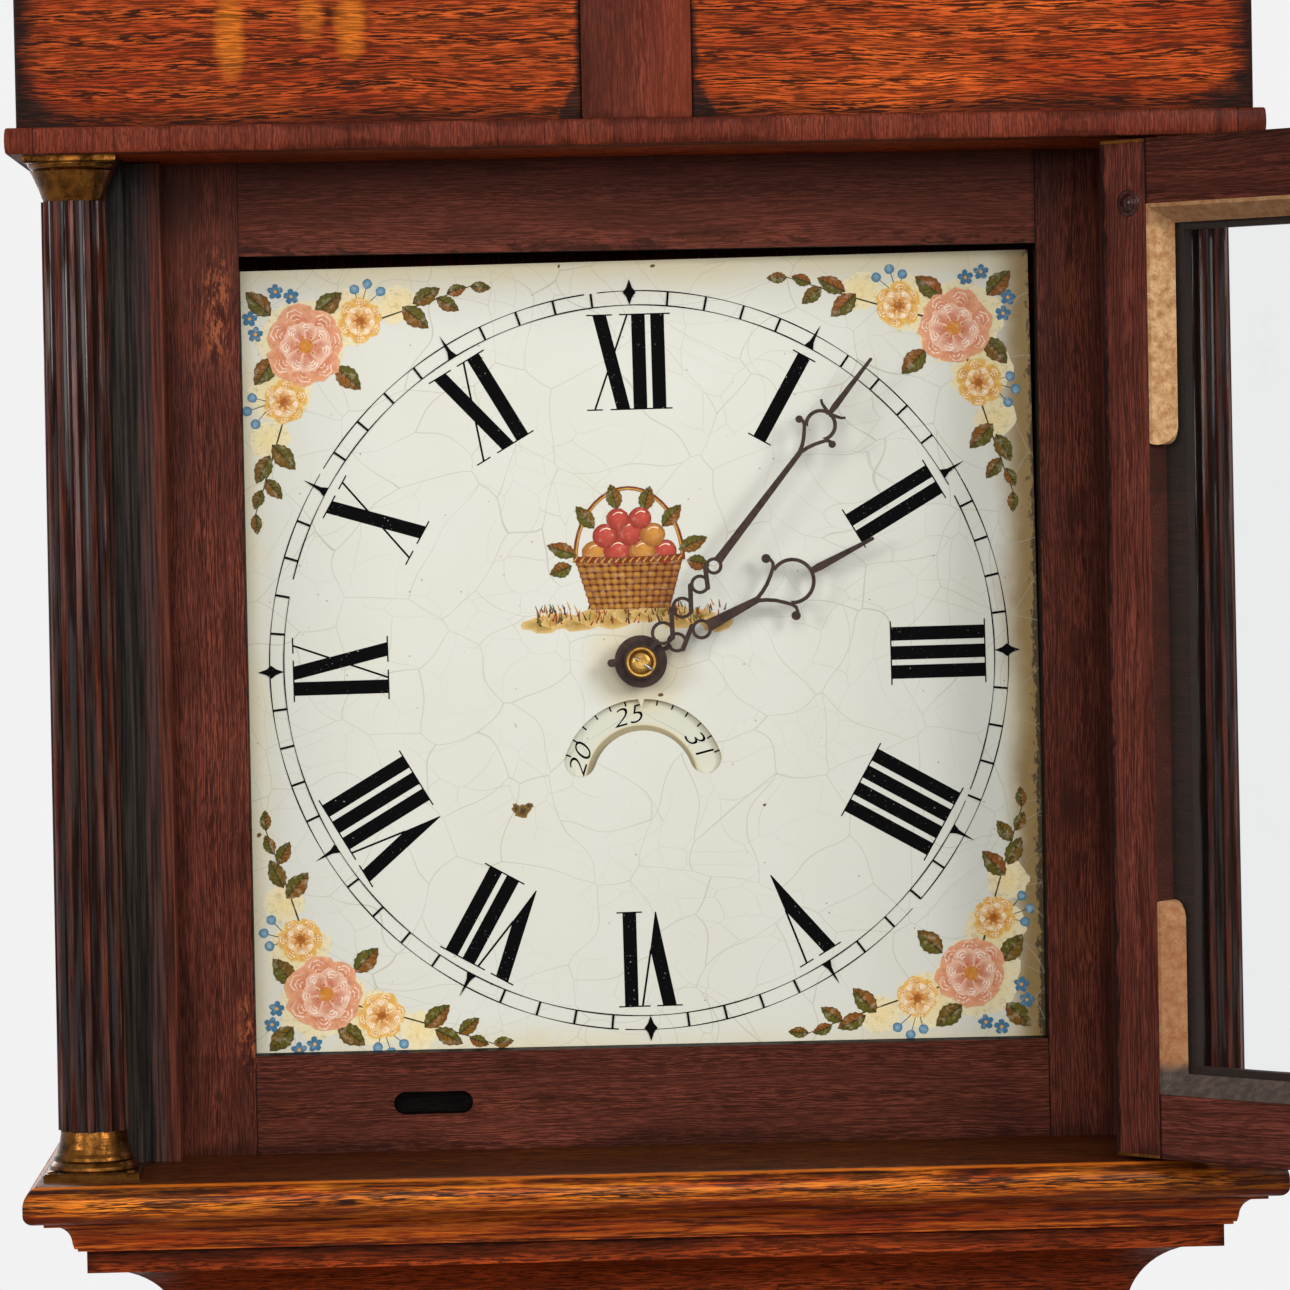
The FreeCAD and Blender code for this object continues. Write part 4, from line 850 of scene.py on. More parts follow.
class Sheet:
    """Painted strokes on the dial, kept as thin coloured shapes."""

    STEP: float = 0.0004
    MIDDLE: float = 0.55
    SHADE: float = 1.4

    def __init__(self, name: str, lift: float, depth: float = DIAL_Y) -> None:
        """Starts an empty sheet.

        Args:
            name: the piece's name.
            lift: millimetres that the paint stands in front of its ground.
            depth: y of the ground.
        """
        self.name = name
        self.lift = lift
        self.depth = depth
        self.points: List[Spot] = []
        self.colours: List[Colour] = []
        self.faces: List[List[int]] = []
        self.layer = 0

    def begin(self) -> Tuple[int, float]:
        """Starts a layer above the last, and gives its first point's number and its height."""
        self.layer += 1
        return len(self.points), self.lift + (self.layer - 1) * self.STEP

    def add(self, outline: Sequence[Point], colour: Colour) -> None:
        """Adds one flat shape of one colour.

        Args:
            outline: its points.
            colour: its colour.
        """
        base, up = self.begin()
        self.points += [(u, v, up) for u, v in outline]
        self.colours += [colour] * len(outline)
        self.faces.append(list(range(base, base + len(outline))))

    def fan(self, centre: Point, rim: Sequence[Point], inner: Colour, outer: Colour) -> None:
        """Adds a shape that shades from a centre to its rim.

        Args:
            centre: the point that it shades from.
            rim: its outline.
            inner: colour at the centre.
            outer: colour at the rim.
        """
        base, up = self.begin()
        count = len(rim)
        self.points.append((*centre, up))
        self.colours.append(inner)
        for share in (self.MIDDLE, 1.0):
            for u, v in rim:
                across, rise = (u - centre[0]) * share, (v - centre[1]) * share
                self.points.append((centre[0] + across, centre[1] + rise, up))
                self.colours.append(blend(inner, outer, share ** self.SHADE))
        for i in range(count):
            j = (i + 1) % count
            self.faces.append([base, base + 1 + i, base + 1 + j])
            self.faces.append([base + 1 + i, base + 1 + count + i, base + 1 + count + j, base + 1 + j])

    def line(self, path: Sequence[Point], start: float, end: float, colour: Colour) -> None:
        """Adds a tapering brush line.

        Args:
            path: its points.
            start: width at the first point.
            end: width at the last point.
            colour: its colour.
        """
        base, up = self.begin()
        count = len(path)
        for i, (u, v) in enumerate(path):
            a = path[max(i - 1, 0)]
            b = path[min(i + 1, count - 1)]
            du, dv = b[0] - a[0], b[1] - a[1]
            size = math.hypot(du, dv) or 1.0
            half = (start + (end - start) * i / max(count - 1, 1)) / 2.0
            for side in (1.0, -1.0):
                self.points.append((u - side * dv / size * half, v + side * du / size * half, up))
                self.colours.append(colour)
        for i in range(count - 1):
            k = base + 2 * i
            self.faces.append([k, k + 1, k + 3, k + 2])

    def hang(self, body: str, material: bpy.types.Material) -> bpy.types.Object:
        """Makes the piece, leaning as the dial does.

        Args:
            body: the body that carries it.
            material: the paint.

        Returns:
            The piece.
        """
        verts = []
        for u, v, up in self.points:
            across, z = turned((u, v), DIAL_TILT, (0.0, DIAL_Z))
            verts.append((across, self.depth - up, z))
        faces = []
        for face in self.faces:
            area = 0.0
            for i, j in zip(face, face[1:] + face[:1]):
                area += self.points[i][0] * self.points[j][1] - self.points[j][0] * self.points[i][1]
            faces.append(face if area > 0 else face[::-1])
        obj = solid(self.name, verts, faces, body, material, False)
        colour_points(obj, self.colours)
        return obj


def arc_path(start: Point, bend: Point, end: Point, count: int = 9) -> List[Point]:
    """Bends a line from start to end.

    Args:
        start: first point.
        bend: point that pulls the line towards itself.
        end: last point.
        count: number of points.

    Returns:
        The line's points.
    """
    out: List[Point] = []
    for i in range(count):
        t = i / (count - 1)
        a, b, c = (1 - t) ** 2, 2 * t * (1 - t), t * t
        out.append((a * start[0] + b * bend[0] + c * end[0], a * start[1] + b * bend[1] + c * end[1]))
    return out


@dataclass
class Dial:
    """Painted dial: chapters, minute ring, corner sprays, centre motif and date numbers."""

    ring_out: float = 141.0
    ring_in: float = 135.6
    ring_steps: int = 360
    ring_half: float = 0.19
    ring_uneven: float = 0.07
    hour_mark: Tuple[Point, ...] = ((-2.0, 135.5), (-0.8, 138.2), (0.0, 145.4), (0.8, 138.2), (2.0, 135.5))
    quarter_mark: Tuple[Point, ...] = ((0.0, 135.6), (-1.1, 138.6), (-2.5, 140.4), (-1.1, 142.2),
                                       (0.0, 145.4), (1.1, 142.2), (2.5, 140.4), (1.1, 138.6))
    figure_low: float = 96.0
    figure_high: float = 132.0
    thick: float = 5.2
    hair: float = 0.78
    serif: float = 0.52
    serif_thick: float = 2.3
    serif_hair: float = 2.6
    one_wide: float = 7.3
    five_wide: float = 14.0
    five_head: float = 3.9
    five_inner: float = 2.4
    five_hair_foot: float = 2.2
    five_hair_head: float = 6.5
    ten_wide: float = 13.4
    ten_foot: float = 3.9
    ten_head: float = 4.4
    ten_hair_foot: float = 7.0
    ten_hair_head: float = 6.2
    point_side: float = 0.6
    point_half: float = 0.2
    join_share: float = 0.4
    tick_half: float = 0.42
    worn_from: float = 1.9
    ink: Colour = tint(9, 8, 9)
    olive: Colour = tint(98, 90, 18)
    olive_dark: Colour = tint(48, 42, 8)
    rust: Colour = tint(156, 82, 24)
    peach: Colour = tint(222, 158, 118)
    rose: Colour = tint(196, 108, 76)
    ochre: Colour = tint(226, 180, 96)
    amber: Colour = tint(204, 132, 40)
    blue: Colour = tint(52, 108, 138)
    wash: Colour = tint(230, 208, 150)
    cream_light: Colour = (0.98, 0.9, 0.78)
    brown: Colour = tint(112, 48, 22)
    straw: Colour = tint(196, 142, 54)
    red: Colour = tint(186, 40, 44)
    date_first: int = 26
    date_days: int = 31
    tick_low: float = 29.2
    tick_high: float = 31.7
    date_tick_half: float = 0.3
    number_low: float = 22.2
    number_size: float = 10.0
    number_wide: float = 1.22
    number_lean: float = 0.3
    number_thin: float = -0.13
    number_back: float = 1.2
    number_lift: float = 0.05
    tick_lift: float = 0.04
    loss_lift: float = 0.03
    paint_lift: float = 0.05
    seed: int = 7
    rng: random.Random = field(init=False)

    def __post_init__(self) -> None:
        """Fixes the hand's small unevenness."""
        self.rng = random.Random(self.seed)

    @staticmethod
    def polar(angle: float, radius: float, side: float = 0.0) -> Point:
        """Point at a clock angle and radius, side millimetres clockwise of it."""
        a = math.radians(angle)
        return (math.sin(a) * radius + math.cos(a) * side, math.cos(a) * radius - math.sin(a) * side)

    def bar(self, angle: float, low: float, high: float, left: float, right: float) -> List[Point]:
        """Outline of a bar at a clock angle, between two radii and two sides."""
        corners = ((low, left), (high, left), (high, right), (low, right))
        return [self.polar(angle, radius, side) for radius, side in corners]

    @staticmethod
    def spoke(centre: Point, degrees: float, far: float) -> Point:
        """Point far from a centre, in degrees anticlockwise from the right."""
        a = math.radians(degrees)
        return (centre[0] + math.cos(a) * far, centre[1] + math.sin(a) * far)

    def chapters(self) -> bpy.types.Object:
        """Draws the hour figures and the minute ring.

        Returns:
            The piece.
        """
        sheet = Sheet("dial_chapters", self.paint_lift)
        names = ("XII", "I", "II", "III", "IIII", "V", "VI", "VII", "VIII", "IX", "X", "XI")
        for hour, name in enumerate(names):
            self.figure(sheet, hour * 30.0, name)
        for radius in (self.ring_out, self.ring_in):
            for i in range(self.ring_steps):
                if math.sin(i * 0.37 + radius) + math.sin(i * 0.113 + 2.0 * radius) > self.worn_from:
                    continue
                start, end = i * 360.0 / self.ring_steps, (i + 1) * 360.0 / self.ring_steps
                half = self.ring_half + self.ring_uneven * math.sin(i * 0.31)
                corners = ((start, -half), (start, half), (end, half), (end, -half))
                sheet.add([self.polar(angle, radius + side) for angle, side in corners], self.ink)
        for minute in range(60):
            angle, half = minute * 6.0, self.tick_half
            if minute % 5:
                sheet.add(self.bar(angle, self.ring_in, self.ring_out, -half, half), self.ink)
            else:
                mark = self.hour_mark if minute % 15 else self.quarter_mark
                sheet.add([self.polar(angle, radius, side) for side, radius in mark], self.ink)
        paint = BrushPaint("chapter_black", 0.85, rough=0.6, shine=0.02).make()
        return sheet.hang("case", paint)

    def figure(self, sheet: Sheet, angle: float, name: str) -> None:
        """Draws one hour figure with its foot to the centre.

        Args:
            sheet: the sheet that takes it.
            angle: its clock angle.
            name: its letters.
        """
        width = {"I": self.one_wide, "V": self.five_wide, "X": self.ten_wide}
        at = -sum(width[letter] for letter in name) / 2.0
        low, high = self.figure_low, self.figure_high
        join = low + (high - low) * self.join_share
        for letter in name:
            mid = at + width[letter] / 2.0
            tip = mid + self.point_side
            if letter == "I":
                strokes = [(low, mid, mid, self.thick)]
            elif letter == "V":
                strokes = [(low, tip, mid - self.five_head, self.thick),
                           (join, tip + self.five_hair_foot, mid + self.five_hair_head, self.hair)]
            else:
                strokes = [(low, mid + self.ten_foot, mid - self.ten_head, self.thick),
                           (low, mid - self.ten_hair_foot, mid + self.ten_hair_head, self.hair)]
            for start, foot, head, wide in strokes:
                half = wide / 2.0
                if letter == "V" and wide == self.thick:
                    below = [(join, foot + self.five_inner), (low, foot + self.point_half)]
                    shape = [(low, foot - self.point_half), (high, head - half), (high, head + half), *below]
                else:
                    top = [(high, head - half), (high, head + half)]
                    shape = [(start, foot - half), *top, (start, foot + half)]
                sheet.add([self.polar(angle, radius, side) for radius, side in shape], self.ink)
                reach = half + (self.serif_thick if wide == self.thick else self.serif_hair)
                rise = self.serif / 2.0
                for radius, middle in ((high, head),) if letter == "V" else ((low, foot), (high, head)):
                    serif = self.bar(angle, radius - rise, radius + rise, middle - reach, middle + reach)
                    sheet.add(serif, self.ink)
            at += width[letter]

    def rim(self, centre: Point, long: float, wide: float, angle: float, count: int,
            rough: float = 0.06) -> List[Point]:
        """Uneven oval outline.

        Args:
            centre: middle of the oval.
            long: half length.
            wide: half width.
            angle: direction of the length, degrees anticlockwise from the right.
            count: number of points.
            rough: share of unevenness.

        Returns:
            The outline.
        """
        out: List[Point] = []
        for i in range(count):
            a = 2.0 * math.pi * i / count
            k = 1.0 + self.rng.uniform(-rough, rough)
            out.append(turned((long * math.cos(a) * k, wide * math.sin(a) * k), angle, centre))
        return out

    def petal(self, sheet: Sheet, root: Point, angle: float, long: float, wide: float,
              inner: Colour, outer: Colour) -> None:
        """Paints one petal out from its root.

        Args:
            sheet: the sheet that takes it.
            root: where it starts.
            angle: its direction.
            long: its length.
            wide: its width.
            inner: colour at its root.
            outer: colour at its rim.
        """
        edge = ((0.25, 0.55), (0.55, 0.95), (0.82, 0.86), (0.97, 0.42))
        shape = [(0.0, 0.0), *((p, -q) for p, q in edge), (1.0, 0.0), *reversed(edge)]
        rim = []
        for p, q in shape:
            k = 1.0 + self.rng.uniform(-0.06, 0.06)
            rim.append(turned((p * long * k, q * wide * 0.5 * k), angle, root))
        sheet.fan(self.spoke(root, angle, long * 0.35), rim, inner, outer)

    def leaf(self, sheet: Sheet, root: Point, angle: float, long: float, wide: float) -> None:
        """Paints one two-toned leaf with veins.

        Args:
            sheet: the sheet that takes it.
            root: where it starts.
            angle: its direction.
            long: its length.
            wide: its width.
        """
        def at(p: float, q: float) -> Point:
            """Point at a share of the leaf's length and half width."""
            return turned((p * long, q * wide * 0.5), angle, root)

        teeth = ((0.0, 0.0), (0.12, 0.5), (0.2, 0.62), (0.26, 0.86), (0.36, 0.84), (0.44, 1.0), (0.55, 0.88),
                 (0.64, 0.86), (0.74, 0.58), (0.84, 0.46), (1.0, 0.0))
        autumn = blend(self.olive, self.rust, self.rng.uniform(0.25, 0.9))
        for side, colour in ((1.0, self.olive), (-1.0, autumn)):
            edge = [at(p, q * side) for p, q in teeth]
            sheet.fan(at(0.45, 0.25 * side), edge, colour, blend(colour, self.olive_dark, 0.55))
        sheet.line([at(0.0, 0.0), at(0.5, 0.05), at(0.98, 0.0)], 0.55, 0.2, self.olive_dark)
        for p in (0.25, 0.42, 0.6, 0.76):
            reach = 0.62 * (1.0 - abs(p - 0.45))
            for side in (1.0, -1.0):
                sheet.line([at(p, 0.0), at(p + 0.13, reach * side)], 0.38, 0.16, self.olive_dark)

    def bloom(self, sheet: Sheet, centre: Point, size: float, turn: float, count: int,
              inner: Colour, outer: Colour, heart: Colour) -> None:
        """Paints one open flower with two rows of petals.

        Args:
            sheet: the sheet that takes it.
            centre: its middle.
            size: its radius.
            turn: direction of the first petal.
            count: petals in each row.
            inner: colour at the petals' roots.
            outer: colour at their rims.
            heart: colour of the middle.
        """
        for row, (share, shift) in enumerate(((1.0, 0.0), (0.66, 0.5))):
            tone = blend(outer, self.cream_light, 0.28 * row)
            for i in range(count):
                a = turn + (i + shift) * 360.0 / count + self.rng.uniform(-7.0, 7.0)
                share *= self.rng.uniform(0.93, 1.06)
                self.petal(sheet, centre, a, size * share, size * share * 0.98, inner, tone)
                for k, swing in ((0.93, 15.0), (0.8, 11.0), (0.68, 8.0)):
                    path = []
                    for d in (-swing, -swing * 0.4, swing * 0.4, swing):
                        way = a + d + self.rng.uniform(-2.0, 2.0)
                        path.append(self.spoke(centre, way, size * share * (k - 0.0007 * d * d)))
                    sheet.line(path, 0.2, 0.62, blend(tone, self.cream_light, 0.55))
                if row == 0:
                    for d in (-9.0, 0.0, 9.0):
                        path = [self.spoke(centre, a + d, size * k) for k in (0.35, 0.62, 0.86)]
                        sheet.line(path, 0.5, 0.18, blend(inner, outer, 0.3))
        rim = self.rim(centre, size * 0.2, size * 0.2, 0.0, 12)
        sheet.fan(centre, rim, heart, blend(heart, inner, 0.4))
        for i in range(7):
            dot = self.spoke(centre, i * 51.4 + turn, size * 0.25)
            sheet.fan(dot, self.rim(dot, 0.45, 0.45, 0.0, 8), self.amber, self.rust)

    def corner(self, sx: float, sz: float) -> bpy.types.Object:
        """Paints the spray of one corner, balanced about the corner's diagonal.

        Args:
            sx: -1 left, 1 right.
            sz: -1 below, 1 above.

        Returns:
            The piece.
        """
        name = "dial_spray_" + ("upper" if sz > 0 else "lower") + "_" + ("left" if sx < 0 else "right")
        sheet = Sheet(name, self.paint_lift)

        def at(p: float, q: float) -> Point:
            """Point p along the dial's edge and q down its side from the corner."""
            return (sx * (DIAL_HALF - p), sz * (DIAL_HALF - q))

        def way(degrees: float) -> float:
            """Direction in the corner's own frame turned into the dial's."""
            a = math.radians(degrees)
            return math.degrees(math.atan2(-sz * math.sin(a), -sx * math.cos(a)))

        thin = blend(self.wash, tint(222, 216, 190), 0.6)
        for p, q, r in ((27, 27, 17), (46, 19, 12), (19, 46, 12), (64, 14, 8), (14, 64, 8)):
            sheet.fan(at(p, q), self.rim(at(p, q), r, r * 0.9, 20.0, 26, 0.09), self.wash, thin)
        sky = blend(self.blue, (0.5, 0.7, 0.8), 0.4)
        deep = blend(self.blue, (0.1, 0.2, 0.35), 0.4)
        for flip in (False, True):
            def put(p: float, q: float) -> Point:
                """Point of the spray's first arm or of its mirrored one."""
                return at(q, p) if flip else at(p, q)

            def dirn(degrees: float) -> float:
                """Direction of the first arm or of the mirrored one."""
                return way(90.0 - degrees if flip else degrees)

            stem = arc_path(put(30, 27), put(58, 20), put(92, 8))
            sheet.line(stem, 0.9, 0.35, self.olive_dark)
            for p, q, d, long, wide in ((66, 15, 44, 13, 8), (70, 14, -26, 12, 7), (79, 12, 34, 10, 6),
                                        (83, 10.5, -22, 8, 5), (92, 8, 2, 8, 4.6)):
                self.leaf(sheet, put(p, q), dirn(d + self.rng.uniform(-5, 5)), long, wide)
            for p, q in ((48, 8), (53, 6), (58, 9)):
                bud = put(p, q)
                sheet.line([put(50, 16), bud], 0.35, 0.25, self.olive_dark)
                sheet.fan(bud, self.rim(bud, 1.9, 1.9, 0.0, 12), sky, self.blue)
            self.bloom(sheet, put(50, 20), 9.0, self.rng.uniform(0, 60), 6, self.amber, self.ochre, self.rust)
        for p, q, d in ((17, 33, 128), (33, 17, -38), (40, 37, 44), (16, 17, -135)):
            self.leaf(sheet, at(p, q), way(d), 13.0, 8.4)
        self.bloom(sheet, at(29, 29), 14.5, self.rng.uniform(0, 40), 7, self.rose, self.peach, self.amber)
        for p, q in ((10, 24), (24, 10), (8, 18), (18, 8)):
            star = at(p, q)
            for i in range(5):
                self.petal(sheet, star, i * 72.0 + p, 3.0, 2.3, deep, self.blue)
            sheet.fan(star, self.rim(star, 0.7, 0.7, 0.0, 8), self.ochre, self.amber)
        return sheet.hang("case", BrushPaint("spray_colours." + name, 0.25, 0.22).make())

    def turf(self, sheet: Sheet, cx: float, foot: float) -> None:
        """Paints the strip of turf under the basket.

        Args:
            sheet: the sheet that takes it.
            cx: middle of the strip.
            foot: its height.
        """
        for i in range(11):
            u = cx - 33.0 + i * 6.6
            v = foot - 1.5 + self.rng.uniform(-2.0, 2.0) - 0.012 * (u - cx) ** 2 * 0.2
            long, wide = self.rng.uniform(5.5, 8.5), self.rng.uniform(2.6, 4.2)
            rim = self.rim((u, v), long, wide, 0.0, 16, 0.16)
            green = blend(self.olive, self.straw, self.rng.uniform(0.1, 0.7))
            sheet.fan((u, v), rim, green, blend(self.straw, self.wash, 0.5))
        tones = (self.olive, self.olive_dark, self.brown, blend(self.brown, self.red, 0.3), self.straw)
        for _ in range(150):
            u = cx + self.rng.uniform(-36.0, 36.0)
            v = foot - 1.0 + self.rng.uniform(-4.2, 2.6)
            tone = self.rng.choice(tones)
            tip = (u + self.rng.uniform(-1.4, 1.4), v + self.rng.uniform(1.2, 3.6))
            sheet.line([(u, v), tip], 0.7, 0.2, tone)

    def weave(self, sheet: Sheet, cx: float, foot: float, low: float, high: float, tall: float) -> None:
        """Paints the basket's weave, dark and light in turn.

        Args:
            sheet: the sheet that takes it.
            cx: middle of the basket.
            foot: height of its foot.
            low: half width at its foot.
            high: half width at its brim.
            tall: height from foot to brim.
        """
        rows, columns = 8, 13
        hollow = [(cx - low, foot), (cx + low, foot), (cx + high, foot + tall), (cx - high, foot + tall)]
        sheet.add(hollow, blend(self.brown, BLACK, 0.5))
        for row in range(rows):
            v0, v1 = foot + tall * row / rows, foot + tall * (row + 1) / rows - 0.25
            half = (low + (high - low) * row / rows + (low + (high - low) * (row + 1) / rows)) / 2.0
            for column in range(columns):
                a, b = column / columns * 2.0 - 1.0, (column + 0.94) / columns * 2.0 - 1.0
                dark = (row + column) % 2
                shade = 0.5 * abs((a + b) / 2.0 + 0.25) + (0.35 if dark else 0.0)
                tone = blend(self.straw, self.brown, min(shade + self.rng.uniform(-0.08, 0.08), 1.0))
                mid = (cx + (a + b) / 2.0 * half, (v0 + v1) / 2.0)
                bend = (8.0 if dark else -8.0) + 10.0 * (a + b) / 2.0
                rim = self.rim(mid, (b - a) * half * 0.62, (v1 - v0) * 0.56, bend, 12, 0.08)
                light, edge = blend(tone, self.straw, 0.35), blend(tone, self.brown, 0.75)
                sheet.fan((mid[0], mid[1] + 0.3), rim, light, edge)

    def fruit(self, sheet: Sheet, cx: float, top: float) -> None:
        """Heaps fruit above the brim.

        Args:
            sheet: the sheet that takes it.
            cx: middle of the basket.
            top: height of its brim.
        """
        heap = ((-13, 2.5, 5.0), (13.5, 2.5, 4.8), (-4.5, 3.0, 5.4), (5.0, 2.6, 5.2), (-9, 9.0, 4.8),
                (0.4, 10.0, 5.2), (9.2, 9.0, 4.8), (-4.0, 15.2, 4.4), (4.6, 15.4, 4.4))
        for k, (u, v, r) in enumerate(heap):
            skin = self.red if k % 3 else blend(self.amber, self.straw, 0.4)
            x, y = cx + u, top + v
            lit, edge = blend(skin, (0.9, 0.5, 0.25), 0.12), blend(skin, self.brown, 0.7)
            sheet.fan((x + 0.25 * r, y + 0.3 * r), self.rim((x, y), r, r * 0.96, 0.0, 20, 0.03), lit, edge)
            gleam = arc_path((x - 0.4 * r, y + 0.35 * r), (x, y + 0.75 * r), (x + 0.45 * r, y + 0.5 * r))
            sheet.line(gleam, 0.2, 0.55, tint(244, 214, 186))

    def basket(self) -> bpy.types.Object:
        """Paints the centre motif: a basket of fruit on a strip of turf.

        Returns:
            The piece.
        """
        sheet = Sheet("dial_basket", self.paint_lift)
        cx, ground, foot = -3.0, 19.0, 20.0
        low, high, tall = 15.0, 20.5, 19.0
        top = foot + tall
        self.turf(sheet, cx, ground)
        self.weave(sheet, cx, foot, low, high, tall)
        for side in (-1.0, 1.0):
            angles = [math.pi / 2.0 * i / 12.0 for i in range(13)]
            loop = [(cx + side * high * math.cos(t), top + 27.0 * math.sin(t)) for t in angles]
            sheet.line(loop, 1.7, 1.5, self.brown)
            sheet.line([(u - 0.3 * side, v - 0.2) for u, v in loop], 0.6, 0.5, self.straw)
        for u, v, d, long in ((-20, 2, 160, 12), (19, 3, 22, 12), (-13, 12, 128, 11), (13, 12, 48, 11),
                              (-4, 19, 104, 10), (6, 18, 74, 10), (-22, -2, 200, 9), (22, -1, -16, 9)):
            self.leaf(sheet, (cx + u, top + v), d, long, 6.4)
        self.fruit(sheet, cx, top)
        brim = high + 0.8
        edge = arc_path((cx - brim, top + 0.4), (cx, top - 1.2), (cx + brim, top + 0.4), 17)
        sheet.line(edge, 2.4, 2.4, self.brown)
        for u, v in edge[:-1]:
            sheet.line([(u, v - 0.9), (u + 1.6, v + 0.9)], 0.7, 0.4, self.straw)
        return sheet.hang("case", BrushPaint("basket_colours", 0.3, 0.14).make())

    def losses(self) -> bpy.types.Object:
        """Marks the places where paint has come off.

        Returns:
            The piece.
        """
        sheet = Sheet("dial_losses", self.loss_lift)
        bare, rim = tint(52, 34, 20), tint(132, 104, 52)
        for u, v, r in ((-46.5, -56.0, 3.6), (-49.0, -55.0, 2.2), (-44.0, -54.0, 1.7), (7.5, -13.2, 1.0),
                        (-147.0, -62.0, 1.1), (46.0, -56.5, 0.7), (9.2, 150.2, 0.9), (-26.5, 151.0, 0.8)):
            outline = self.rim((u, v), r, r * 0.7, self.rng.uniform(0, 90), 16, 0.25)
            sheet.fan((u, v), outline, bare, rim)
        return sheet.hang("case", BrushPaint("loss_colours", 0.0).make())

    def day_angle(self, day: int) -> float:
        """Clock angle of a day on the date disc at rest."""
        return (day - self.date_first) * 360.0 / self.date_days

    def date_ticks(self, depth: float, paint: bpy.types.Material) -> bpy.types.Object:
        """Draws the day ticks on the date disc.

        Args:
            depth: y of the disc's face.
            paint: the black paint.

        Returns:
            The piece.
        """
        sheet = Sheet("date_ticks", self.tick_lift, depth)
        half = self.date_tick_half
        for day in range(1, self.date_days + 1):
            tick = self.bar(self.day_angle(day), self.tick_low, self.tick_high, -half, half)
            sheet.add([(u, v - DATE_DROP) for u, v in tick], self.ink)
        return sheet.hang("date", paint)

    def date_numbers(self, depth: float, paint: bpy.types.Material) -> bpy.types.Object:
        """Draws every fifth number on the date disc.

        Args:
            depth: y of the disc's face.
            paint: the black paint.

        Returns:
            The piece.
        """
        shapes: List[Shape] = []
        for day in (5, 10, 15, 20, 25, 31):
            text = bpy.data.curves.new("number", "FONT")
            text.body = str(day)
            text.size = self.number_size
            text.shear = self.number_lean
            text.align_x = "CENTER"
            text.offset = self.number_thin
            holder = bpy.data.objects.new("number", text)
            mesh = bpy.data.meshes.new_from_object(holder)
            angle = self.day_angle(day) - self.number_back
            points: List[Spot] = []
            for vert in mesh.vertices:
                u, v = self.polar(angle, self.number_low + vert.co.y, vert.co.x * self.number_wide)
                across, z = turned((u, v - DATE_DROP), DIAL_TILT, (0.0, DIAL_Z))
                points.append((across, depth - self.number_lift, z))
            shapes.append((points, [list(polygon.vertices) for polygon in mesh.polygons]))
            bpy.data.objects.remove(holder)
            bpy.data.curves.remove(text)
            bpy.data.meshes.remove(mesh)
        verts, faces = join_shapes(shapes)
        numbers = solid("date_numbers", verts, faces, "date", paint, False)
        colour_points(numbers, [self.ink] * len(verts))
        return numbers

    def build(self) -> List[bpy.types.Object]:
        """Dresses the dial and paints it.

        Returns:
            Its pieces.
        """
        cream = DialPaint().make()
        sunk = DialPaint("date_cream", tint(203, 203, 186), well=DATE_DROP).make()
        made = [dress("dial_plate", cream), dress("date_disc", sunk)]
        made += [self.losses(), self.chapters()]
        made += [self.corner(sx, sz) for sx in (-1.0, 1.0) for sz in (-1.0, 1.0)]
        made.append(self.basket())
        face = box_mm("date_disc")[0][1]
        black = BrushPaint("date_black", 0.2, rough=0.6, shine=0.02).make()
        made += [self.date_ticks(face, black), self.date_numbers(face, black)]
        return made


GOLD, CHAR, TAN = tint(212, 116, 28), tint(30, 14, 10), tint(120, 64, 32)
FRIEZE_PATCHES = (
    Stain(-148.0, 1876.0, 5.5, 20.0, GOLD, 0.75),
    Stain(-118.0, 1880.0, 5.0, 9.0, GOLD, 0.5),
    Stain(-104.0, 1878.0, 6.0, 13.0, GOLD, 0.7),
)
MASK_MARKS = (
    Stain(-170.0, 1816.0, 8.0, 14.0, CHAR, 0.7),
    Stain(-57.0, 1803.5, 24.0, 4.0, CHAR, 0.5),
    Stain(33.0, 1802.0, 18.0, 3.5, CHAR, 0.55),
    Stain(82.0, 1803.0, 15.0, 4.0, CHAR, 0.45),
    Stain(165.0, 1779.0, 3.5, 10.0, TAN, 0.6),
    Stain(167.0, 1695.0, 6.0, 8.0, CHAR, 0.5),
    Stain(166.0, 1643.0, 5.0, 7.0, CHAR, 0.45),
    Stain(165.0, 1580.0, 6.0, 8.0, CHAR, 0.5),
    Stain(165.0, 1532.0, 5.0, 9.0, TAN, 0.4),
)


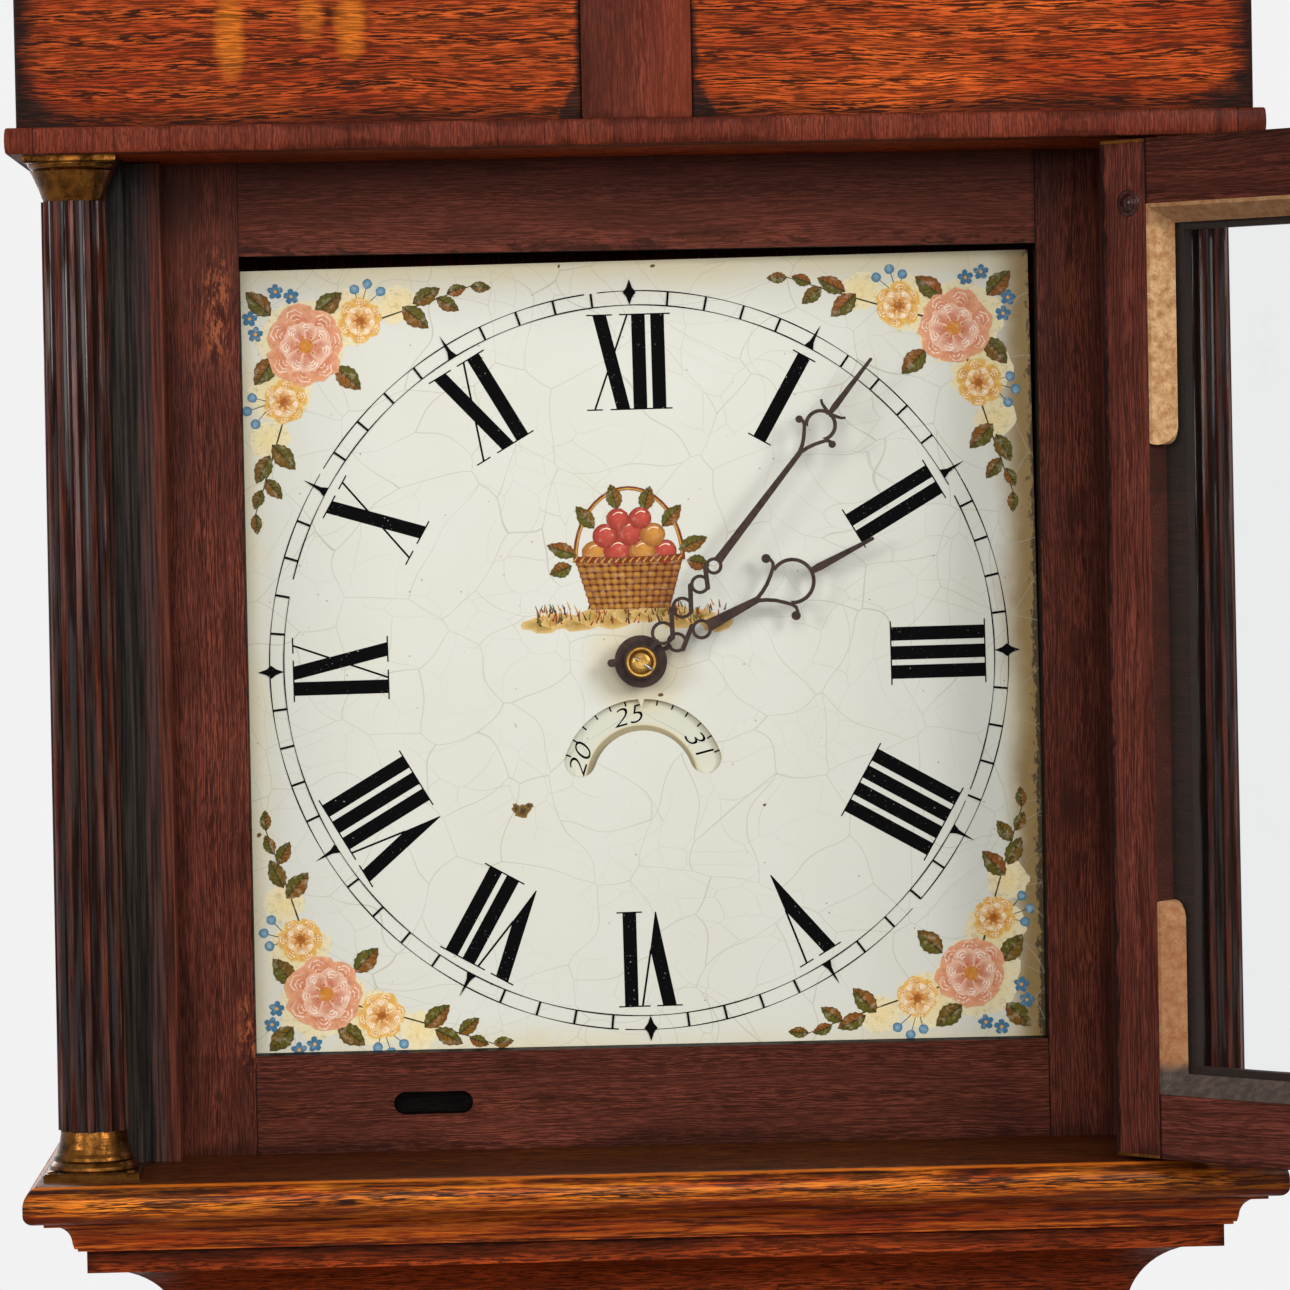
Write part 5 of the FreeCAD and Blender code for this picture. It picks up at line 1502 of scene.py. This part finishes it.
@dataclass
class Hood:
    """Hood with its mask, columns, base moulding, frieze and cornice."""

    jamb_in: float = 190.0
    jamb_out: float = 196.3
    jamb_front: float = -92.0
    strip: float = 187.2
    stop_in: float = 181.6
    band_joint: float = 219.5
    plinth_half: float = 17.5
    column_x: float = 207.4
    column_y: float = -110.0
    shaft_low: float = 12.9
    shaft_top: float = 11.7
    plinth_top: float = 1458.6
    pin_inset: float = 3.2
    pin_back: float = 9.8
    pin_head: Tuple[Point, ...] = ((1.9, -0.3), (1.9, 0.25), (1.5, 0.75), (0.8, 1.0), (0.1, 1.05))
    seam_left: float = -149.0
    seam_right: float = 152.6
    opening_low: float = 1494.5
    opening_high: float = 1796.0
    mask_front: float = -62.45
    sill: float = 1455.0
    hollow: float = 1442.0
    soften: float = 0.7

    def strips(self, g: Graph, colour: Value, place: Place) -> Value:
        """Colours the bare jamb strips beside the mask.

        Args:
            g: the board's graph.
            colour: the board's colour.
            place: place on the board in millimetres.

        Returns:
            The changed colour.
        """
        x, y, z = place
        streak = g.noise(g.join(x / 1.1, y / 1.1, z / 40.0), 4.0).rise(0.35, 0.68)
        grey = g.mix(streak, tint(20, 18, 16), tint(56, 48, 43))
        mauve = g.mix(streak, tint(40, 27, 24), tint(80, 55, 50))
        wood = g.mix(streak, tint(52, 25, 17), tint(104, 54, 41))
        bare = g.mix(abs(x).rise(self.strip - 0.1, self.strip + 0.1), mauve, grey)
        bare = g.mix(abs(x).rise(self.stop_in + 0.1, self.stop_in - 0.1), bare, wood)
        front = y.rise(self.jamb_front, self.jamb_front - 1.0)
        front = front.most(abs(x).rise(self.jamb_in + 0.3, self.jamb_in + 0.1))
        return g.mix(front * abs(x).rise(self.jamb_out + 0.1, self.jamb_out - 0.1), colour, bare)

    def flutes(self, g: Graph, colour: Value, place: Place) -> Value:
        """Paints shade into the bottoms of a column's flutes and lightens the ridges between them.

        Args:
            g: the board's graph.
            colour: the board's colour.
            place: place on the board in millimetres.

        Returns:
            The changed colour.
        """
        x, y, z = place
        (_, _, foot), (_, _, head) = box_mm("column_shaft_left")
        dx, dy = abs(x) - self.column_x, y - self.column_y
        outer = self.shaft_low + (z - foot) * ((self.shaft_top - self.shaft_low) / (head - foot))
        hollow = outer * outer - dx * dx - dy * dy
        worn = g.noise(g.join(x / 3.0, y / 3.0, z / 38.0), 4.0, 0.65)
        colour = g.mix(hollow.rise(12.0, 1.0) * worn.rise(0.44, 0.64) * 0.5, colour, tint(110, 54, 38))
        # Painted shade in the flute hollows.
        return g.mix(hollow.rise(6.0, 26.0) * 0.8, colour, tint(12, 6, 4))

    def mask_marks(self, g: Graph, colour: Value, place: Place) -> Value:
        """Adds joint lines and scuffs to the mask, painted shadow of the open door on its right stile, a
        darker bottom rail, painted light on its top rail and painted shade on its cut edges.

        Args:
            g: the board's graph.
            colour: the board's colour.
            place: place on the board in millimetres.

        Returns:
            The changed colour.
        """
        x, y, z = place
        seam = abs(x - self.seam_left).least(abs(x - self.seam_right))
        colour = g.mix(seam.rise(0.45, 0.12) * 0.9, colour, tint(14, 6, 4))
        fleck = g.noise(g.join(x / 1.6, y, z / 5.0), 4.0, 0.7)
        near = abs(x + 157.5).rise(7.5, 2.0) * abs(z - 1778.0).rise(30.0, 8.0)
        near = near.most(abs(x + 152.0).rise(5.0, 1.0) * abs(z - 1500.0).rise(26.0, 6.0))
        colour = g.mix(near * fleck.rise(0.5, 0.58) * 0.75, colour, tint(178, 98, 62))
        colour = g.mix(near * fleck.rise(0.46, 0.4) * 0.6, colour, tint(34, 14, 9))
        # Painted shadow of the open door on the right stile; the bottom rail is darkened the same way.
        far = x.rise(150.0, 153.0).most(z.rise(self.opening_low, self.opening_low - 1.5))
        colour = g.mix(far * 0.3, colour, tint(44, 20, 14))
        # Painted light: the top rail is lightened against the soffit's shade.
        colour = g.mix(z.rise(1770.0, 1800.0) * (1.0 - far) * 0.15, colour, tint(150, 82, 62))
        lip = (z - self.opening_high).rise(10.0, 1.0) * abs(x).rise(150.0, 148.0)
        lip = lip * z.rise(self.opening_high - 0.5, self.opening_high)
        smear = g.noise(g.join(x / 14.0, 3.0, z / 5.0), 3.0, 0.65).rise(0.52, 0.6)
        colour = g.mix(lip * smear * 0.7, colour, tint(40, 21, 16))
        # Painted shade: the faces behind the mask's front, the cut edges of the opening among them, are made
        # nearly black.
        return g.mix(y.rise(self.mask_front, self.mask_front + 0.65) * 0.99, colour, tint(4, 2, 2))

    def band_ends(self, g: Graph, colour: Value, place: Place) -> Value:
        """Marks the joints where the band turns the corners.

        Args:
            g: the board's graph.
            colour: the board's colour.
            place: place on the board in millimetres.

        Returns:
            The changed colour.
        """
        x, _, z = place
        seam = abs(abs(x) - self.band_joint)
        check = abs(g.noise(g.join(x / 17.0, 5.0, z / 900.0), 0.0) - 0.5).rise(0.009, 0.002)
        colour = g.mix(check * 0.5, colour, tint(30, 10, 6))
        colour = g.mix(abs(x).rise(self.band_joint, self.band_joint + 0.4) * 0.35, colour, tint(70, 24, 12))
        return g.mix(seam.rise(0.5, 0.15) * 0.8, colour, tint(24, 9, 5))

    def frieze_soot(self, g: Graph, colour: Value, place: Place) -> Value:
        """Blackens the frieze beside the block and at its ends, partly with soot and partly as painted shade
        where the parts meet, and brightens its right half.

        Args:
            g: the board's graph.
            colour: the board's colour.
            place: place on the board in millimetres.

        Returns:
            The changed colour.
        """
        x, y, z = place
        (block_left, _, _), (block_right, _, _) = box_mm("hood_frieze_block")
        (_, _, frieze_low), (frieze_right, _, _) = box_mm("hood_frieze")
        cloud = g.noise(g.join(x / 9.0, 2.0, z / 6.0), 3.0, 0.6)
        near = (block_left - x).most(x - block_right)
        foot = (z - frieze_low).rise(16.0, 0.0)
        black = (near - foot * 7.0 + (cloud - 0.5) * 7.0).rise(3.2, 0.6)
        tip = (frieze_right - abs(x) - foot * 14.0 + (cloud - 0.5) * 22.0).rise(13.0, -2.0)
        tip = tip * y.rise(-126.0, -131.0)
        colour = g.mix(x.rise(30.0, 120.0), colour, (1.26, 1.32, 1.4), "MULTIPLY")
        # Soot and painted shade beside the block and at the frieze's ends.
        return g.mix(black.most(tip) * 0.88, colour, tint(20, 11, 8))

    def block_shade(self, g: Graph, colour: Value, place: Place) -> Value:
        """Darkens the left of the block and warms its right.

        Args:
            g: the board's graph.
            colour: the board's colour.
            place: place on the board in millimetres.

        Returns:
            The changed colour.
        """
        x = place[0]
        (left, _, _), (right, _, _) = box_mm("hood_frieze_block")
        middle = (left + right) / 2.0
        colour = g.mix(x.rise(middle + 8.0, left) * 0.6, colour, tint(58, 24, 13))
        return g.mix(x.rise(middle, right) * 0.25, colour, tint(150, 62, 34))

    def shelf(self, g: Graph, colour: Value, place: Place) -> Value:
        """Paints shade on the sill inside the door and light into the hollow below the nose, with golden
        painted highlights, dark streaks, a darker foot to the nose, the door's painted shadow at its right
        end, and painted shade and a painted highlight along its top arris.

        Args:
            g: the board's graph.
            colour: the board's colour.
            place: place on the board in millimetres.

        Returns:
            The changed colour.
        """
        x, y, z = place
        sill, hollow = self.sill, self.hollow
        # Painted shade on the sill inside the door.
        inside = z.rise(sill - 0.4, sill + 0.8)
        colour = g.mix(inside * 0.88, colour, tint(43, 18, 8))
        under = z.rise(hollow + 1.0, hollow - 1.0)
        band = g.noise(g.join(x / 34.0, y / 3.0, z / 1.5), 4.0, 0.65)
        # Painted highlights: golden streaks along the nose.
        colour = g.mix(band.rise(0.48, 0.36) * (1.0 - inside) * 0.55, colour, tint(255, 148, 40))
        # Painted light in the hollow below the nose, which faces down away from the lamps.
        colour = g.mix(under * 0.5, colour, tint(164, 56, 20))
        colour = g.mix(band.rise(0.51, 0.61) * (1.0 - inside) * 0.8, colour, tint(40, 13, 3))
        colour = g.mix(z.rise(hollow + 6.5, hollow + 2.0) * (1.0 - under) * 0.5, colour, tint(104, 36, 10))
        # Painted shadow of the open door on the right end of the nose.
        right = x.rise(110.0, 200.0) * z.rise(hollow, hollow + 2.0)
        colour = g.mix(right * 0.5, colour, tint(62, 26, 9))
        streak = g.noise(g.join(x / 30.0, y / 8.0, 4.0), 3.0).rise(0.36, 0.56)
        shade = z.rise(sill + 0.3, sill - 0.4) * z.rise(sill - 3.4, sill - 1.4) * streak
        colour = g.mix(shade * 0.7, colour, tint(30, 11, 4))
        # Painted highlight: a thin bright line along the top arris.
        arris_highlight = z.rise(sill - 0.5, sill) * z.rise(sill + 0.8, sill + 0.4)
        return g.mix(arris_highlight * 0.6, colour, tint(206, 106, 30))

    def boards(self) -> List[bpy.types.Object]:
        """Dresses the hood's boards, mouldings and column shafts.

        Returns:
            Its pieces.
        """
        plan = [
            ("hood_base", NOSE_OAK, Grain.ACROSS, self.shelf, ()),
            ("hood_mask", MAHOGANY, Grain.ACROSS, self.mask_marks, MASK_MARKS),
            ("hood_soffit", OAK_DARK, Grain.ACROSS, None, ()),
            ("hood_band", BANDING, Grain.UPRIGHT, self.band_ends, ()),
            ("hood_frieze", OAK, Grain.ACROSS, self.frieze_soot, FRIEZE_PATCHES),
            ("hood_frieze_block", BANDING, Grain.UPRIGHT, self.block_shade, ()),
            ("hood_cornice", OAK_DRY, Grain.ACROSS, None, ()),
        ]
        for side in ("left", "right"):
            plan.append(("hood_side_" + side, OAK_DARK, Grain.UPRIGHT, self.strips, ()))
            plan.append(("column_shaft_" + side, EBONY_STAIN, Grain.UPRIGHT, self.flutes, ()))
        made = []
        for node, timber, grain, recolour, stains in plan:
            cross = (self.seam_left, self.seam_right) if node == "hood_mask" else None
            finish = timber.cut(node, grain, box_mm(node), stains=stains, recolour=recolour, cross=cross)
            made.append(dress(node, finish, 0.0 if "column" in node else self.soften))
        return made

    def brasses(self) -> List[bpy.types.Object]:
        """Dresses the turned brasses and pins down their plinths.

        Returns:
            Its pieces.
        """
        brass = AGED_BRASS.make()
        reach = self.plinth_half - self.pin_inset
        made = []
        for side, sx in (("left", -1.0), ("right", 1.0)):
            made.append(dress("column_base_" + side, brass))
            made.append(dress("column_capital_" + side, brass))
            shapes = []
            for dx in (-reach, reach):
                for dy in (-reach, self.pin_back):
                    foot = (sx * self.column_x + dx, self.column_y + dy, self.plinth_top)
                    shapes.append(lathe(self.pin_head, foot, (0.0, 0.0, 1.0), 16))
            verts, faces = join_shapes(shapes)
            made.append(solid("plinth_pins_" + side, verts, faces, "hood", brass))
        return made

    def build(self) -> List[bpy.types.Object]:
        """Dresses the whole hood."""
        return self.boards() + self.brasses()


@dataclass
class HoodDoor:
    """Glazed door of the hood, standing open on its pivot straps."""

    left: float = -187.5
    right: float = 184.4
    low: float = 1457.5
    high: float = 1829.3
    face: float = 20.4
    inner_y: float = -80.8
    rail_face: float = 23.7
    upper_from: float = 1700.0
    lower_to: float = 1500.0
    soot_front: float = -99.0
    soot_back: float = -80.0
    soften: float = 0.25
    peg_x: float = 172.0
    peg_drop: float = 23.2
    peg_profile: Tuple[Point, ...] = ((4.9, -0.4), (4.9, 0.12), (4.2, 0.3), (3.7, -0.1), (3.4, 0.5),
                                      (2.6, 1.2), (1.4, 1.6), (0.1, 1.7))
    strap_start: float = 0.1
    strap_end: float = 1.2
    strap_inner: float = 0.4
    strap_outer: float = 0.5
    strap_sunk: float = 0.6
    strap_proud: float = 0.2

    @property
    def seams(self) -> Point:
        """x of the joints between stiles and rails."""
        return (self.left + self.face, self.right - self.face)

    def opened(self, point: Sequence[float]) -> Spot:
        """Carries a point of the shut door to the open one."""
        x, y = turned((point[0] - DOOR_PIVOT[0], point[1] - DOOR_PIVOT[1]), DOOR_OPEN, DOOR_PIVOT[:2])
        return (x, y, point[2])

    def lip(self, g: Graph, colour: Value, place: Place) -> Value:
        """Darkens the rebate where glass and putty sit, the rails and the joints, and paints shade along the
        hinge stile's outer edge.

        Args:
            g: the board's graph.
            colour: the board's colour.
            place: place on the board in millimetres.

        Returns:
            The changed colour.
        """
        x, y, z = place
        left, right = self.seams
        stiles = x.rise(left + 0.2, left - 0.2).most(x.rise(right - 0.2, right + 0.2))
        rail_low, rail_high = self.low + self.rail_face, self.high - self.rail_face
        rails = z.rise(rail_low + 0.2, rail_low - 0.2).most(z.rise(rail_high - 0.2, rail_high + 0.2))
        upper = z.rise(self.upper_from, self.upper_from + 1.0)
        lower = z.rise(self.lower_to, self.lower_to - 1.0)
        colour = g.mix((1.0 - stiles) * upper * 0.5, colour, tint(34, 14, 8))
        colour = g.mix((1.0 - stiles) * lower * 0.2, colour, tint(40, 26, 22))
        ragged = g.noise(g.join(x / 2.0, y / 2.0, z / 9.0), 4.0, 0.65)
        # Painted shade along the hinge stile's outer edge face, with a ragged border.
        rim = (self.right - x + (ragged - 0.5) * 6.0).rise(2.6, 1.4)
        colour = g.mix(rim * 0.85, colour, tint(16, 8, 6))
        colour = g.mix((1.0 - stiles) * (1.0 - rails) * 0.85, colour, tint(44, 40, 37))
        seam = abs(x - left).least(abs(x - right)).rise(0.7, 0.3)
        return g.mix(seam * rails * 0.9, colour, tint(12, 6, 4))

    def frame_wood(self) -> List[bpy.types.Object]:
        """Dresses the four members of the frame.

        Returns:
            Its pieces.
        """
        # The box sets where soot and painted shade gather along the frame's edges.
        box = ((self.left, self.soot_front, self.low), (self.right, self.soot_back, self.high))
        wood = DOOR_WOOD.cut("door_frame", Grain.ACROSS, box, door=True, recolour=self.lip, cross=self.seams)
        parts = ("stile_hinge", "stile_free", "rail_top", "rail_bottom")
        return [dress("hood_door_" + part, wood, self.soften) for part in parts]

    def pegs(self) -> bpy.types.Object:
        """Turns the pegs that lock the corner joints.

        Returns:
            The piece.
        """
        a = math.radians(DOOR_OPEN)
        way = (-math.sin(a), math.cos(a), 0.0)
        shapes = []
        for x in (self.peg_x, -self.peg_x):
            foot = self.opened((x, self.inner_y, self.high - self.peg_drop))
            shapes.append(lathe(self.peg_profile, foot, way, 24))
        verts, faces = join_shapes(shapes)
        no_edges = ((-500.0, -500.0, 0.0), (500.0, 500.0, 3000.0))
        wood = EBONY_STAIN.cut("pegs", Grain.UPRIGHT, no_edges)
        return solid("hood_door_pegs", verts, faces, "hood_door", wood)

    def strap_edges(self, brass: bpy.types.Material) -> bpy.types.Object:
        """Shows the worn edge of each strap where it comes through the hinge stile.

        Args:
            brass: the straps' brass.

        Returns:
            The piece.
        """
        block = [[0, 1, 3, 2], [4, 6, 7, 5], [0, 4, 5, 1], [2, 3, 7, 6], [0, 2, 6, 4], [1, 5, 7, 3]]
        heights = ((self.low + self.strap_start, self.low + self.strap_end),
                   (self.high - self.strap_end, self.high - self.strap_start))
        across = (self.seams[1] + self.strap_inner, self.right - self.strap_outer)
        depths = (self.inner_y - self.strap_sunk, self.inner_y + self.strap_proud)
        shapes = [([self.opened((x, y, z)) for x in across for y in depths for z in levels], block)
                  for levels in heights]
        verts, faces = join_shapes(shapes)
        return solid("hood_door_strap_edges", verts, faces, "hood_door", brass, False)

    def build(self) -> List[bpy.types.Object]:
        """Dresses the whole door.

        Returns:
            Its pieces.
        """
        brass = AGED_BRASS.make()
        made = self.frame_wood()
        made.append(dress("hood_door_glass", Pane().make()))
        made.append(dress("hood_door_putty", Putty().make()))
        made += [dress("hood_door_strap_" + k, brass) for k in ("lower", "upper")]
        made += [self.strap_edges(brass), self.pegs()]
        return made


@dataclass
class Case:
    """Trunk, base and the trunk's door."""

    soften: float = 1.0

    def build(self) -> List[bpy.types.Object]:
        """Dresses the case below the hood.

        Returns:
            Its pieces.
        """
        made = []
        plan = (
            ("backboard", OAK_DARK, Grain.UPRIGHT),
            ("trunk_side_left", OAK, Grain.UPRIGHT),
            ("trunk_side_right", OAK, Grain.UPRIGHT),
            ("trunk_front_frame", OAK, Grain.UPRIGHT),
            ("throat_moulding", OAK_DARK, Grain.ACROSS),
            ("base_moulding", OAK_DARK, Grain.ACROSS),
            ("base_box", OAK, Grain.ACROSS),
            ("base_floor", OAK_DARK, Grain.ACROSS),
            ("plinth_skirting", OAK_DARK, Grain.ACROSS),
            ("seatboard", OAK_DARK, Grain.ACROSS),
            ("trunk_door", OAK, Grain.UPRIGHT),
        )
        for node, timber, grain in plan:
            made.append(dress(node, timber.cut(node, grain, box_mm(node)), self.soften))
        brass = AGED_BRASS.make()
        for node in ("trunk_escutcheon", "trunk_hinge_frame_lower", "trunk_hinge_frame_upper",
                     "trunk_hinge_door_lower", "trunk_hinge_door_upper"):
            made.append(dress(node, brass))
        return made


@dataclass
class Movement:
    """Plates, train, motion work, hands, pendulum and weight."""

    pin_y: float = -66.8
    pin_way: Spot = (0.8, 0.0, -0.6)
    pin_start: float = 3.6
    pin_profile: Tuple[Point, ...] = ((0.35, 0.0), (0.5, 2.0), (0.55, 6.0), (0.6, 8.6), (0.2, 8.9))
    hand_soften: float = 0.25

    def build(self) -> List[bpy.types.Object]:
        """Dresses the movement and fits the pin that holds the hands.

        Returns:
            Its pieces.
        """
        brass, iron, steel, cast = CLOCK_BRASS.make(), HAND_IRON.make(), STEEL.make(), CAST_IRON.make()
        plan = (
            (brass, 0.0, ("front_plate", "back_plate", "back_cock", "great_wheel", "motion_drive_wheel",
                          "second_wheel", "escape_wheel", "cannon_wheel", "hour_wheel", "hand_collet",
                          "rating_nut", "weight_pulley")),
            (iron, self.hand_soften, ("minute_hand", "hour_hand")),
            (steel, 0.0, ("anchor", "pendulum_rod")),
            (cast, 0.0, ("driving_weight", "pendulum_bob")),
        )
        made = [dress(node, metal, soften) for metal, soften, nodes in plan for node in nodes]
        way = Vector(self.pin_way)
        foot = Vector((0.0, self.pin_y, DIAL_Z)) - way * self.pin_start
        verts, faces = lathe(self.pin_profile, foot, way, 12)
        made.append(solid("collet_pin", verts, faces, "case", steel))
        return made


@dataclass(frozen=True)
class Lamp:
    """A soft square lamp, with its place and size in metres."""

    name: str
    place: Spot
    size: float
    power: float

    def hang(self, aim: Spot) -> None:
        """Hangs the lamp.

        Args:
            aim: the point it shines at.
        """
        light = bpy.data.lights.new(self.name, "AREA")
        light.shape = "SQUARE"
        light.size = self.size
        light.energy = self.power
        obj = bpy.data.objects.new(self.name, light)
        bpy.context.scene.collection.objects.link(obj)
        obj.location = self.place
        obj.rotation_euler = (Vector(aim) - Vector(self.place)).to_track_quat("-Z", "Y").to_euler()


@dataclass
class Studio:
    """Floor, soft light and the camera."""

    eye: Spot = (-67.0, -2050.5, 1707.0)
    aim: Spot = (2.0, -50.5, 1646.0)
    roll: float = -1.1
    lens: float = 146.5
    backdrop: Colour = tint(242, 242, 243)
    ambient: float = 0.07
    floor_half: float = 6.0
    fade_from: float = 300.0
    fade_to: float = 1900.0
    lit: Spot = (0.0, -0.05, 1.6)
    lamps: Tuple[Lamp, ...] = (
        Lamp("key", (2.0, -2.3, 2.8), 1.3, 67.0),
        Lamp("fill", (-2.2, -1.9, 2.2), 0.8, 26.0),
        Lamp("front", (-0.3, -3.0, 2.7), 2.2, 57.0),
        Lamp("back", (-1.2, 2.4, 2.6), 1.6, 40.0),
    )

    def floor(self) -> None:
        """Lays the pale floor."""
        half = self.floor_half
        corners = [(-half, -half, 0.0), (half, -half, 0.0), (half, half, 0.0), (-half, half, 0.0)]
        mesh = bpy.data.meshes.new("floor")
        mesh.from_pydata(corners, [], [(0, 1, 2, 3)])
        g = Graph("floor_pale")
        x, y, _ = g.place()
        cloud = g.noise(g.join(x / 400.0, y / 400.0, 0.0), 3.0)
        colour = g.mix(cloud, tint(226, 226, 226), tint(236, 236, 236))
        pale = g.node("ShaderNodeBsdfPrincipled", None, {"Base Color": colour, "Roughness": 0.8})
        clear = g.node("ShaderNodeBsdfTransparent")
        fade = (x * x + y * y).rise(self.fade_from ** 2, self.fade_to ** 2)
        g.end(g.node("ShaderNodeMixShader", None, {0: fade, 1: pale, 2: clear}))
        mesh.materials.append(g.material)
        obj = bpy.data.objects.new("floor", mesh)
        bpy.context.scene.collection.objects.link(obj)

    def world(self) -> None:
        """Sets a pale room that lights softly and shows white behind the clock."""
        world = bpy.data.worlds.new("room")
        bpy.context.scene.world = world
        g = Graph("room", world)
        rays = ("Is Camera Ray", "Is Glossy Ray", "Is Transmission Ray")
        seen, mirrored, through = [g.node("ShaderNodeLightPath", None, None, ray) for ray in rays]
        lit = g.node("ShaderNodeBackground", None, {0: (1.0, 1.0, 1.0), 1: self.ambient})
        shown = g.node("ShaderNodeBackground", None, {0: self.backdrop, 1: 1.0})
        g.end(g.node("ShaderNodeMixShader", None, {0: seen.most(mirrored).most(through), 1: lit, 2: shown}))

    def camera(self) -> None:
        """Sets the camera at the photograph's viewing angle."""
        data = bpy.data.cameras.new("camera")
        data.sensor_width = 36.0
        data.sensor_fit = "HORIZONTAL"
        data.lens = self.lens
        data.clip_end = 100.0
        obj = bpy.data.objects.new("camera", data)
        bpy.context.scene.collection.objects.link(obj)
        eye = Vector(self.eye) / PER_METRE
        look = (Vector(self.aim) / PER_METRE - eye).to_track_quat("-Z", "Y")
        obj.location = eye
        obj.rotation_euler = (look @ Quaternion((0.0, 0.0, 1.0), math.radians(self.roll))).to_euler()
        bpy.context.scene.camera = obj

    def build(self) -> None:
        """Sets up the whole studio."""
        bpy.context.scene.view_settings.view_transform = "Standard"
        self.floor()
        self.world()
        for lamp in self.lamps:
            lamp.hang(self.lit)
        self.camera()


def main() -> None:
    """Builds every part of the clock in order and reports the pieces."""
    logging.basicConfig(level=logging.INFO, format="%(message)s")
    for part in (Case(), Hood(), HoodDoor(), Dial(), Movement()):
        pieces = part.build()
        log.info("%s: %d pieces", type(part).__name__, len(pieces))
    Studio().build()


if __name__ == "__main__":
    main()
